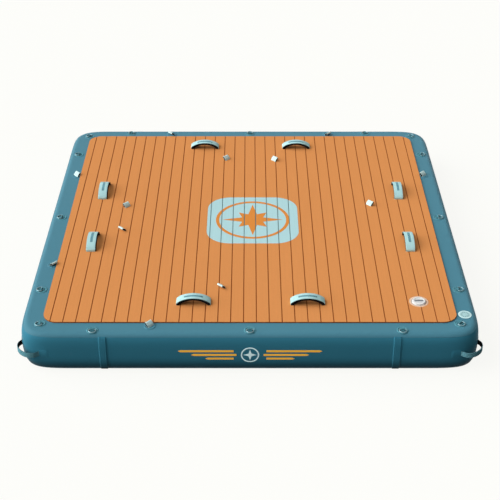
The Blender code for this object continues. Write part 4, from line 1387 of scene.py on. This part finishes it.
def make_carry_handles(hull, web):
    """A strap round each corner, its inner face lined black as painted shade, its ends sewn down and covered
    by welded patches.
    """
    centre = hull.half_side - hull.corner_radius
    start, foot, width = web.carry_start, web.carry_foot, web.carry_width
    half = width / 2

    def line(reach_at, start, end, steps):
        points = []
        for step in range(steps + 1):
            turn = start + (end - start) * step / steps
            reach = reach_at(turn)
            points.append((centre + reach * math.cos(turn), centre + reach * math.sin(turn), MIDDLE_Z))
        return points

    def strap_face(turn):
        return carry_reach(web, hull, turn)[1]

    def strap_back(turn):
        """The strap is pressed flat where it is welded under its patch."""
        near = min(turn, QUARTER - turn)
        share = clipped((near - foot) / PRESS_FADE + 1.0)
        return strap_face(turn) + web.carry_flat + (web.carry_strap - web.carry_flat) * share

    def hull_face(turn):
        return carry_reach(web, hull, turn)[0] - WELD_SINK

    def base_face(turn):
        return hull_face(turn) + BASE_RISE

    def cover_face(turn):
        """Rises from the hull over the strap's end, and stops where the strap leaves the hull."""
        near = min(turn, QUARTER - turn)
        share = clipped((near - start + COVER_LEAD) / COVER_SLOPE)
        lift = share * share * (3 - 2 * share)
        return hull_face(turn) + COVER_RISE + (web.carry_flat + web.carry_cover) * lift

    def sewn_face(turn):
        return strap_back(turn) + SEWN_OUT

    outer = line(strap_back, start, QUARTER - start, STRAP_STEPS)
    inner = line(strap_face, start, QUARTER - start, STRAP_STEPS)
    strap_cloth = material("carry_cloth", webbing, web.carry, 0.6, 0.0021, 0.0)
    layers = (
        ("", strap_cloth, tape_section(width, 0.0, 0.46, 0.0010)),
        # Painted shade: the black liner stands for the deep shade on the strap's inner face.
        ("_liner", black_knit_and_shade(web), tape_section(width - 0.001, 0.48, 1.0, 0.0010)),
    )
    base = (start - BASE_LEAD, foot + BASE_PAST)
    cover = (start - COVER_LEAD, foot - COVER_SHORT)
    patches = (
        (base, base_face, tape_section(width + BASE_WIDER, 0.0, 1.0, 0.0012), BASE_STEPS),
        (cover, cover_face, sloped_section(half + COVER_WIDER, COVER_EDGE), COVER_STEPS),
    )
    sewn = line(sewn_face, foot + SEWN_PAST, QUARTER - foot - SEWN_PAST, SEWN_STEPS)
    rows = []
    for index, word in enumerate(("rear_right", "rear_left", "front_left", "front_right")):
        placing = Matrix.Rotation(index * QUARTER, 4, "Z")
        for suffix, finish, section in layers:
            strap = moved(tape("strap", outer, inner, (0, 0, 1), section), placing)
            replaced = () if suffix else (f"carry_handle_{word}",)
            piece(f"carry_strap_{word}{suffix}", strap, "carry_webbing", finish, replaced=replaced)
        welds = []
        for is_mirrored in (False, True):
            for (begin, end), face, section, steps in patches:
                span = (QUARTER - end, QUARTER - begin) if is_mirrored else (begin, end)
                front, back = line(face, *span, steps), line(hull_face, *span, steps)
                welds.append(moved(tape("patch", front, back, (0, 0, 1), section), placing))
        piece(f"carry_patches_{word}", joined("patches", welds), "coated_teal", wall_cloth_painted_tone(hull))
        for lift in (-half + CARRY_INSET, half - CARRY_INSET):
            rows.append([placing @ (Vector(point) + Vector((0, 0, lift))) for point in sewn])
    thread = material("carry_thread", webbing, darker(web.carry, 0.6))
    stitches("carry_stitches", rows, thread, web.stitch, CARRY_STITCH, "carry_webbing")


def patch_mesh(radius, rise, lip):
    """A round welded patch with a raised lip that slopes down to the hull."""
    profile = [
        (0.0, rise),
        (radius - LIP_FOOT, rise),
        (radius - LIP_INNER, lip),
        (radius - LIP_OUTER, lip),
        (radius, 0.0002),
        (radius, -0.0003),
        (0.0, -0.0003),
    ]
    return lathe("patch", softened(profile, 0.0008), COARSE_STEPS)


def tab_solids(web):
    """A tab's folded webbing and the black lining that fills its fold, partly painted shade of the fold's
    hollow, leaning back over its foot.
    """
    run, rise = math.cos(web.tab_lean), math.sin(web.tab_lean)
    half = TAB_HALF
    near, far = half + 0.0001, web.tab_thickness - half
    bend = (far - near) / 2
    top = web.tab_height - bend - half
    turns = [math.pi * step / 8 for step in range(9)]

    def up(along, out):
        return along * run - out * rise, along * rise + out * run

    path = [(-0.0090, half + 0.0001), (-0.0080, half + 0.0003), (-0.0064, 0.0032)]
    path += [up(share * top, far) for share in (0.05, 0.35, 0.7)]
    path += [up(top + bend * math.sin(turn), near + bend + bend * math.cos(turn)) for turn in turns]
    path += [up(share * top, near) for share in (0.7, 0.35, 0.06)]
    outer, inner = (stand_up(offset_line(path, shift)) for shift in (half * 0.95, -half * 0.95))
    tab = tape("tab", outer, inner, (0, 1, 0), tape_section(web.tab_width - 0.0006, edge=0.0006))
    inside = bend - half
    filling = [up(0.0012, near + half), up(top, near + half)]
    filling += [up(top + inside * math.sin(t), near + bend - inside * math.cos(t)) for t in turns[1:-1]]
    filling += [up(top, far - half), up(0.0005, far - half)]
    filling += [(-0.0058, 0.0022), (-0.0050, 0.0010), (0.0, 0.0006)]
    side = web.tab_width / 2 - 0.0004
    return tab, moved(prism("lining", filling, -side, side), Matrix.Rotation(QUARTER, 4, "X"))


def make_tabs(hull, web):
    """Small folded webbing tabs, with black linings in their folds that are partly painted shade: on the
    deck, and on welded patches on the rim.
    """
    tab, lining = tab_solids(web)
    cloth = material("tab_cloth", webbing, web.tab, 0.7, 0.0015)
    box_shift = (web.tab_height * math.cos(web.tab_lean) - TAB_FOOT_REACH) / 2
    for kind, z in (("deck", PAD_TOP + GAP), ("rim", DECK_Z + GAP + web.tab_patch_rise)):
        names = [name for name in TAB_HEADINGS if name.startswith(kind)]
        places = []
        for name in names:
            turn = math.atan2(*TAB_HEADINGS[name][::-1])
            middle = node_centre(name)
            x, y = middle.x - box_shift * math.cos(turn), middle.y - box_shift * math.sin(turn)
            places.append((Vector((x, y, z)), turn))
        set_down(f"{kind}_tabs", tab, places, cloth, "tab_webbing", 50.0, names)
        # Partly painted shade: the black lining fills each fold where its hollow would be in shade.
        set_down(f"{kind}_tab_linings", lining, places, black_knit_and_shade(web), "tab_webbing", 30.0)
    patch = patch_mesh(web.tab_patch, web.tab_patch_rise, web.tab_patch_lip)
    places = [(Vector((spot.x, spot.y, DECK_Z)), turn) for spot, turn in places]
    set_down("tab_patches", patch, places, skin_cloth(hull), "coated_teal")


# Rings, valve and disc

# The valve's heights are over the hull's flat top. Its sections are pairs of radius and height.
VALVE_BORE = 0.0245
VALVE_FLOOR, VALVE_SEAT = -0.0375, -0.0340
VALVE_PORT, PORT_RING = 0.0047, 0.0129
HOUSING = (
    (0.0300, 0.0072),
    (0.0334, 0.0072),
    (0.0334, 0.0003),
    (0.0240, 0.0003),
    (0.0240, VALVE_FLOOR),
    (0.0042, VALVE_FLOOR),
    (0.0042, VALVE_SEAT),
    (0.0211, VALVE_SEAT),
    (0.0211, 0.0072),
)
CAP_LOW = 0.0075
CAP = (
    (0.0, CAP_LOW + 0.0026),
    (0.0234, CAP_LOW + 0.0026),
    (0.0234, CAP_LOW + 0.0047),
    (0.0300, CAP_LOW + 0.0047),
    (0.0300, CAP_LOW),
    (0.0206, CAP_LOW),
    (0.0206, CAP_LOW - 0.0105),
    (0.0183, CAP_LOW - 0.0105),
    (0.0183, CAP_LOW),
    (0.0, CAP_LOW),
)
CAP_RIB, CAP_RIB_RING = (0.0014, 0.0016, 0.0034), 0.0299
GRIP_LENGTH, GRIP_WIDTH = 0.0205, 0.0044
GRIP_LOW, GRIP_HIGH = CAP_LOW + 0.0024, CAP_LOW + 0.0066
DISH = (
    (0.0, CAP_LOW + 0.0025),
    (0.0222, CAP_LOW + 0.0025),
    (0.0222, CAP_LOW + 0.0032),
    (0.0, CAP_LOW + 0.0032),
)
BUTTON_TOP = -0.006
PLUNGER = (
    (0.0, BUTTON_TOP),
    (0.0076, BUTTON_TOP),
    (0.0076, BUTTON_TOP - 0.0035),
    (0.0035, BUTTON_TOP - 0.0035),
    (0.0035, VALVE_FLOOR - 0.0003),
    (0.0193, VALVE_FLOOR - 0.0003),
    (0.0193, VALVE_FLOOR - 0.0038),
    (0.0, VALVE_FLOOR - 0.0038),
)
SPRING_RADIUS, SPRING_WIRE = 0.0059, 0.0006
NUT_OUTER, NUT_INNER = 0.0328, 0.0243
LOOP_END, LOOP_TOE = 0.0118, 0.0085
DISC_RISE, DISC_TICKS = 0.0012, 12


def ring_joints():
    """Name, place and outward turn of each ring, from the frame's own joints."""
    found = []
    for joint in frame["record"]["behaviour"]["joints"]:
        name = joint["name"]
        if name.startswith("ring_"):
            word = name[len("ring_") : -len("_fold")]
            spot = Vector(joint["pos_m"])
            aim = node_centre(f"d_ring_{word}") - spot
            found.append((word, spot, math.atan2(aim.y, aim.x) - QUARTER))
    return found


def ring_line(fit):
    """Centre line of a ring: a straight bar, two bends, and a round bow."""
    half, bend = fit.ring_width / 2, fit.ring_bend
    bow = fit.ring_depth - half
    line = [(x, 0.0) for x in (-half + bend, -half / 2, 0.0, half / 2, half - bend)]
    for step in range(1, 7):
        turn = QUARTER * step / 6
        line.append((half - bend + bend * math.sin(turn), bend - bend * math.cos(turn)))
    for step in range(1, 32):
        turn = math.pi * step / 32
        line.append((half * math.cos(turn), bow + half * math.sin(turn)))
    for step in range(6):
        turn = QUARTER * step / 6
        line.append((-half + bend - bend * math.cos(turn), bend - bend * math.sin(turn)))
    return line


def wire_ring(builder, spot, side, radius, sides):
    """Points round a wire that lies level; side is the level way across it."""
    ring = []
    for turn in turns_round(sides):
        lift = Vector((0, 0, radius * math.sin(turn)))
        ring.append(builder.verts.new(spot + side * radius * math.cos(turn) + lift))
    return ring


def closed_wire(name, line, radius, sides=14):
    """A round wire along a closed plane line."""
    builder = bmesh.new()
    rings = []
    for before, (x, y), after in zip(line[-1:] + line[:-1], line, line[1:] + line[:1]):
        run = Vector((after[0] - before[0], after[1] - before[1], 0.0)).normalized()
        side = Vector((run.y, -run.x, 0.0))
        rings.append(wire_ring(builder, Vector((x, y, 0.0)), side, radius, sides))
    for near, far in zip(rings, rings[1:] + rings[:1]):
        bridged(builder, near, far)
    return smooth(sealed(name, builder), 80.0)


def spring_coil(low, high, radius, wire, turns=6, per_turn=24, sides=8):
    """A round wire wound evenly about Z."""
    builder = bmesh.new()
    rings = []
    steps = turns * per_turn
    for index in range(steps + 1):
        turn = 2 * math.pi * index / per_turn
        out = Vector((math.cos(turn), math.sin(turn), 0.0))
        spot = out * radius + Vector((0, 0, low + (high - low) * index / steps))
        rings.append(wire_ring(builder, spot, out, wire, sides))
    for near, far in zip(rings, rings[1:]):
        bridged(builder, near, far)
    for ring in (rings[0], rings[-1]):
        builder.faces.new(ring)
    return smooth(sealed("coil", builder), 80.0)


def make_rings(fit):
    """Sixteen steel rings, their welded patches and the loops that hold them."""
    steel = material("ring_steel_drawn", brushed_steel, fit.steel, 0.30)
    wire = closed_wire("ring", ring_line(fit), fit.wire)
    places = []
    for word, spot, turn in ring_joints():
        mesh = moved(wire.copy(), place_at(spot, turn))
        piece(f"steel_ring_{word}", mesh, "ring_steel", steel, f"ring_{word}", (f"d_ring_{word}",))
        places.append((Vector((spot.x, spot.y, DECK_Z)), turn))

    rise, strap = fit.patch_rise, fit.loop_strap
    patch = patch_mesh(fit.patch_radius, rise - 0.0003, fit.patch_lip)
    patch_cloth = material("patch_fabric", coated_fabric, fit.patch)
    set_down("ring_patches", patch, places, patch_cloth, "coated_teal")

    bar = rise + 0.0006 + fit.wire
    radius = fit.wire + 0.0005 + strap / 2
    low = rise + strap / 2
    foot = [(LOOP_END, low), (LOOP_TOE, low), (radius + 0.0012, low), (radius + 0.0003, low + 0.0008)]
    path = [(-x, z) for x, z in foot]
    for step in range(13):
        turn = math.pi * step / 12
        path.append((-radius * math.cos(turn), bar + radius * math.sin(turn)))
    path += foot[::-1]
    outer, inner = (stand_up(offset_line(path, shift)) for shift in (strap / 2, -strap / 2))
    loop = tape("loop", outer, inner, (0, 1, 0), tape_section(fit.loop_width, edge=0.0004))
    moved(loop, Matrix.Rotation(QUARTER, 4, "Z"))
    loop_cloth = material("loop_cloth", webbing, darker(fit.patch, 0.8), 0.7, 0.0013)
    set_down("ring_loops", loop, places, loop_cloth, "coated_teal", 50.0)


def make_valve(fit):
    """Inflation valve: flanged body, nut, sprung plunger, and a ribbed cap with its grip."""
    plastic = "valve_plastic"
    white = material("valve_white", moulded_plastic, fit.plastic)
    grey = material("valve_grey", moulded_plastic, fit.grip, 0.42)
    inner = material("valve_inner_grey", moulded_plastic, darker(fit.grip, 0.7), 0.5)
    pale = material("valve_dish", moulded_plastic, darker(fit.plastic, 0.86), 0.42)
    placing, on_axis = place_at(VALVE), (VALVE.x, VALVE.y, 0.0)

    ports = []
    for index in range(4):
        turn = 2 * math.pi * (index + 0.5) / 4
        spot = (PORT_RING * math.cos(turn), PORT_RING * math.sin(turn))
        ports.append(prism("port", circle(VALVE_PORT, 24, spot), VALVE_FLOOR - 0.002, VALVE_SEAT + 0.002))
    housing = cut(lathe("housing", softened(HOUSING, 0.0006), FINE_STEPS), *ports)
    piece("valve_housing", smooth(moved(housing, placing)), plastic, white, replaced=("valve_body",))

    piece("cap_shell", turned("cap", CAP, 0.0006, FINE_STEPS, VALVE), plastic, white, "cap", ("valve_cap",))
    ribs = grown(
        "cap_ribs",
        "ribs_round",
        Count=fit.valve_ribs,
        Radius=CAP_RIB_RING,
        Rib_Size=CAP_RIB,
        Height=CAP_LOW + 0.0022,
        Material=white,
    )
    piece("cap_ribs", smooth(moved(ribs, placing)), plastic, body="cap")
    outline = [(-GRIP_LENGTH, -GRIP_WIDTH), (GRIP_LENGTH, -GRIP_WIDTH)]
    outline += [(-x, -y) for x, y in outline]
    grip = rounded_cut(prism("grip", outline, GRIP_LOW, GRIP_HIGH), 0.0013)
    piece("cap_grip", moved(grip, placing), plastic, grey, "cap")
    piece("cap_dish", turned("dish", DISH, 0.0003, ROUND_STEPS, VALVE), plastic, pale, "cap")

    stem = turned("plunger", PLUNGER, 0.0005, COARSE_STEPS, VALVE)
    piece("plunger_stem", stem, "valve_inner", inner, "plunger", ("valve_plunger",))

    start, end = (Vector(corner).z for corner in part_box("valve_spring"))
    coil = spring_coil(start + SPRING_WIRE, end - SPRING_WIRE, SPRING_RADIUS, SPRING_WIRE)
    drawn = material("spring_wire", brushed_steel, fit.spring, 0.3)
    coil = moved(coil, place_at(on_axis))
    spring = piece("plunger_spring", coil, "spring_steel", drawn, replaced=("valve_spring",))
    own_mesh(spring)

    low, high = (Vector(corner).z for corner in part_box("valve_nut"))
    section = [(NUT_OUTER, high), (NUT_OUTER, low), (NUT_INNER, low), (NUT_INNER, high)]
    nut = turned("nut", section, 0.0008, ROUND_STEPS, on_axis)
    piece("backing_nut", nut, plastic, white, replaced=("valve_nut",))


def make_disc(fit):
    """The bare round disc on the rim: a pale border round a field with plain ticks."""
    low, high = (Vector(corner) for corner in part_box("data_disc"))
    radius = (high.x - low.x) / 2
    base, on_axis = DECK_Z + 0.0001, (DISC.x, DISC.y, 0.0)
    field, top = radius * 0.80, base + DISC_RISE
    border = [
        (field, base),
        (radius, base),
        (radius, base + DISC_RISE * 0.7),
        (field + 0.0015, top + 0.0004),
        (field, top + 0.0004),
    ]
    inner = [(0.0, top), (field - 0.0001, top), (field - 0.0001, base), (0.0, base)]
    for name, section, tint, replaced in (
        ("disc_border", border, fit.disc_edge, ("data_disc",)),
        ("disc_field", inner, fit.disc, ()),
    ):
        mesh = turned(name, section, 0.0004, FINE_STEPS, on_axis)
        finish = material(name, moulded_plastic, tint, 0.5)
        piece(name, mesh, "panel_foam", finish, replaced=replaced)
    marks = grown(
        "disc_marks",
        "ribs_round",
        Count=DISC_TICKS,
        Radius=radius * 0.52,
        Rib_Size=(radius * 0.26, 0.0026, 0.0006),
        Height=top,
        Material=material("disc_marks", moulded_plastic, fit.disc_mark, 0.5),
    )
    piece("disc_marks", moved(marks, place_at(on_axis)), "panel_foam")


def make_core():
    """The woven core keeps its solid and gets its cloth."""
    cloth = material("core_cloth", woven_core_cloth, (0.70, 0.72, 0.72))
    for place in frame["nodes"]["drop_stitch_core"].material_slots:
        place.material = cloth


# Stage

FLOOR_REACH, FLOOR_Z = 40.0, -0.0006
KEY_AIM, FILL_AIM = (-1.0, 0.05, 0.62), (-0.77, -0.54, 0.34)


def seen_directly(graph):
    """One where a ray comes from the camera, a mirror or glass."""
    rays = graph.add("ShaderNodeLightPath").outputs
    direct = graph.math("MAXIMUM", rays["Is Camera Ray"], rays["Is Glossy Ray"])
    return graph.math("MAXIMUM", direct, rays["Is Transmission Ray"])


def bare_graph(owner):
    """The node graph of a material or world, with nothing in it yet."""
    owner.use_nodes = True
    owner.node_tree.nodes.clear()
    return Graph(owner.node_tree)


def mixed_shader(graph, share, first, second):
    return graph.put("ShaderNodeMixShader", {0: share, 1: first, 2: second})


def linked(name, data):
    made = bpy.data.objects.new(name, data)
    bpy.context.scene.collection.objects.link(made)
    return made


def make_floor(stage):
    """A pale floor that looks lit all over, and gives little light back."""
    pale = (*stage.floor, 1.0)
    finish = bpy.data.materials.new("studio_floor")
    graph = bare_graph(finish)
    lit = graph.put("ShaderNodeBsdfDiffuse", {"Color": pale})
    plain = graph.put("ShaderNodeEmission", {"Color": pale, "Strength": 1.0})
    shown = mixed_shader(graph, 0.92, lit, plain)
    bounced = graph.put("ShaderNodeBsdfDiffuse", {"Color": (0.07, 0.07, 0.07, 1.0)})
    surface = mixed_shader(graph, seen_directly(graph), bounced, shown)
    graph.add("ShaderNodeOutputMaterial", {"Surface": surface})
    corners = [(x * FLOOR_REACH, y * FLOOR_REACH, FLOOR_Z) for x, y in ((-1, -1), (1, -1), (1, 1), (-1, 1))]
    mesh = bpy.data.meshes.new("floor")
    mesh.from_pydata(corners, [], [(0, 1, 2, 3)])
    mesh_object("floor", mesh, finish)


def make_sky(stage):
    """Soft light from above, with the floor's colour behind the object."""
    world = bpy.data.worlds.new("studio")
    bpy.context.scene.world = world
    graph = bare_graph(world)
    up = graph.parts(graph.add("ShaderNodeTexCoord").outputs["Generated"])[2]
    strength = graph.math("MULTIPLY", graph.ramp(up, 0.0, 0.9, 0.02, 1.0), stage.sky)
    soft = graph.put("ShaderNodeBackground", {"Color": (1.0, 1.0, 1.0, 1.0), "Strength": strength})
    shown = graph.put("ShaderNodeBackground", {"Color": (*stage.floor, 1.0), "Strength": 1.0})
    surface = mixed_shader(graph, seen_directly(graph), soft, shown)
    graph.add("ShaderNodeOutputWorld", {"Surface": surface})


def make_lamp(name, strength, spread, aim):
    sun = bpy.data.lights.new(name, "SUN")
    sun.energy = strength
    sun.angle = spread
    linked(name, sun).rotation_euler = Vector(aim).to_track_quat("Z", "Y").to_euler()


def make_camera(stage):
    """The camera where the photograph was taken from."""
    lens = bpy.data.cameras.new("camera")
    lens.lens = stage.lens
    lens.sensor_width = 36.0
    lens.clip_end = 200.0
    camera = linked("camera", lens)
    camera.location = stage.camera_place
    camera.rotation_euler = (QUARTER - stage.tilt, 0.0, 0.0)
    bpy.context.scene.camera = camera


def make_stage(stage):
    """Floor, soft light and the camera at the photograph's viewing angle."""
    make_floor(stage)
    make_sky(stage)
    make_lamp("key", stage.key, stage.key_spread, KEY_AIM)
    make_lamp("fill", stage.fill, stage.fill_spread, FILL_AIM)
    make_camera(stage)
    bpy.context.scene.view_settings.view_transform = "Standard"


# Operators and panel

UNDOABLE = {"REGISTER", "UNDO"}
DONE = {"FINISHED"}


class DOCK_OT_core(bpy.types.Operator):
    """Dress the drop stitch core"""

    bl_idname = "dock.core"
    bl_label = "Drop stitch core"
    bl_options = UNDOABLE

    def execute(self, context):
        make_core()
        return DONE


class DOCK_OT_hull(bpy.types.Operator):
    """Make the hull's skins, side wall and seam laps"""

    bl_idname = "dock.hull"
    bl_label = "Hull"
    bl_options = UNDOABLE

    def execute(self, context):
        make_hull(context.scene.dock_hull)
        return DONE


class DOCK_OT_splices(bpy.types.Operator):
    """Make the cover strips over the wall's joints"""

    bl_idname = "dock.splices"
    bl_label = "Cover strips"
    bl_options = UNDOABLE

    def execute(self, context):
        make_splices(context.scene.dock_hull)
        return DONE


class DOCK_OT_front_trim(bpy.types.Operator):
    """Make the plain trim on the front wall"""

    bl_idname = "dock.front_trim"
    bl_label = "Front trim"
    bl_options = UNDOABLE

    def execute(self, context):
        scene = context.scene
        make_front_trim(scene.dock_hull, scene.dock_fittings)
        return DONE


class DOCK_OT_deck(bpy.types.Operator):
    """Make the grooved foam pad"""

    bl_idname = "dock.deck"
    bl_label = "Deck pad"
    bl_options = UNDOABLE

    def execute(self, context):
        make_deck(context.scene.dock_deck)
        return DONE


class DOCK_OT_panel(bpy.types.Operator):
    """Make the centre panel and its compass star"""

    bl_idname = "dock.panel"
    bl_label = "Centre panel"
    bl_options = UNDOABLE

    def execute(self, context):
        make_panel(context.scene.dock_deck)
        return DONE


class DOCK_OT_grab_handles(bpy.types.Operator):
    """Make the eight grab handles"""

    bl_idname = "dock.grab_handles"
    bl_label = "Grab handles"
    bl_options = UNDOABLE

    def execute(self, context):
        make_grab_handles(context.scene.dock_webbing)
        return DONE


class DOCK_OT_carry_handles(bpy.types.Operator):
    """Make the four corner carry straps"""

    bl_idname = "dock.carry_handles"
    bl_label = "Carry straps"
    bl_options = UNDOABLE

    def execute(self, context):
        scene = context.scene
        make_carry_handles(scene.dock_hull, scene.dock_webbing)
        return DONE


class DOCK_OT_tabs(bpy.types.Operator):
    """Make the small webbing tabs"""

    bl_idname = "dock.tabs"
    bl_label = "Webbing tabs"
    bl_options = UNDOABLE

    def execute(self, context):
        scene = context.scene
        make_tabs(scene.dock_hull, scene.dock_webbing)
        return DONE


class DOCK_OT_rings(bpy.types.Operator):
    """Make the steel rings with their patches and loops"""

    bl_idname = "dock.rings"
    bl_label = "Rings"
    bl_options = UNDOABLE

    def execute(self, context):
        make_rings(context.scene.dock_fittings)
        return DONE


class DOCK_OT_valve(bpy.types.Operator):
    """Make the inflation valve"""

    bl_idname = "dock.valve"
    bl_label = "Valve"
    bl_options = UNDOABLE

    def execute(self, context):
        make_valve(context.scene.dock_fittings)
        return DONE


class DOCK_OT_disc(bpy.types.Operator):
    """Make the round disc on the rim"""

    bl_idname = "dock.disc"
    bl_label = "Round disc"
    bl_options = UNDOABLE

    def execute(self, context):
        make_disc(context.scene.dock_fittings)
        return DONE


class DOCK_OT_stage(bpy.types.Operator):
    """Make the floor, the light and the camera"""

    bl_idname = "dock.stage"
    bl_label = "Stage"
    bl_options = UNDOABLE

    def execute(self, context):
        make_stage(context.scene.dock_stage)
        return DONE


OPERATORS = (
    DOCK_OT_core,
    DOCK_OT_hull,
    DOCK_OT_splices,
    DOCK_OT_front_trim,
    DOCK_OT_deck,
    DOCK_OT_panel,
    DOCK_OT_grab_handles,
    DOCK_OT_carry_handles,
    DOCK_OT_tabs,
    DOCK_OT_rings,
    DOCK_OT_valve,
    DOCK_OT_disc,
    DOCK_OT_stage,
)


class DOCK_PT_panel(bpy.types.Panel):
    """Buttons for the dock's pieces"""

    bl_idname = "DOCK_PT_panel"
    bl_label = "Dock platform"
    bl_space_type = "VIEW_3D"
    bl_region_type = "UI"
    bl_category = "Dock"

    def draw(self, context):
        for maker in OPERATORS:
            self.layout.operator(maker.bl_idname)


CLASSES = (*SETTINGS.values(), *OPERATORS, DOCK_PT_panel)


def register():
    for made in CLASSES:
        bpy.utils.register_class(made)
    for name, kind in SETTINGS.items():
        setattr(bpy.types.Scene, name, PointerProperty(type=kind))


def unregister():
    for name in SETTINGS:
        delattr(bpy.types.Scene, name)
    for made in reversed(CLASSES):
        bpy.utils.unregister_class(made)


def main():
    register()
    for maker in OPERATORS:
        getattr(bpy.ops.dock, maker.bl_idname.removeprefix("dock."))()


if __name__ == "__main__":
    main()
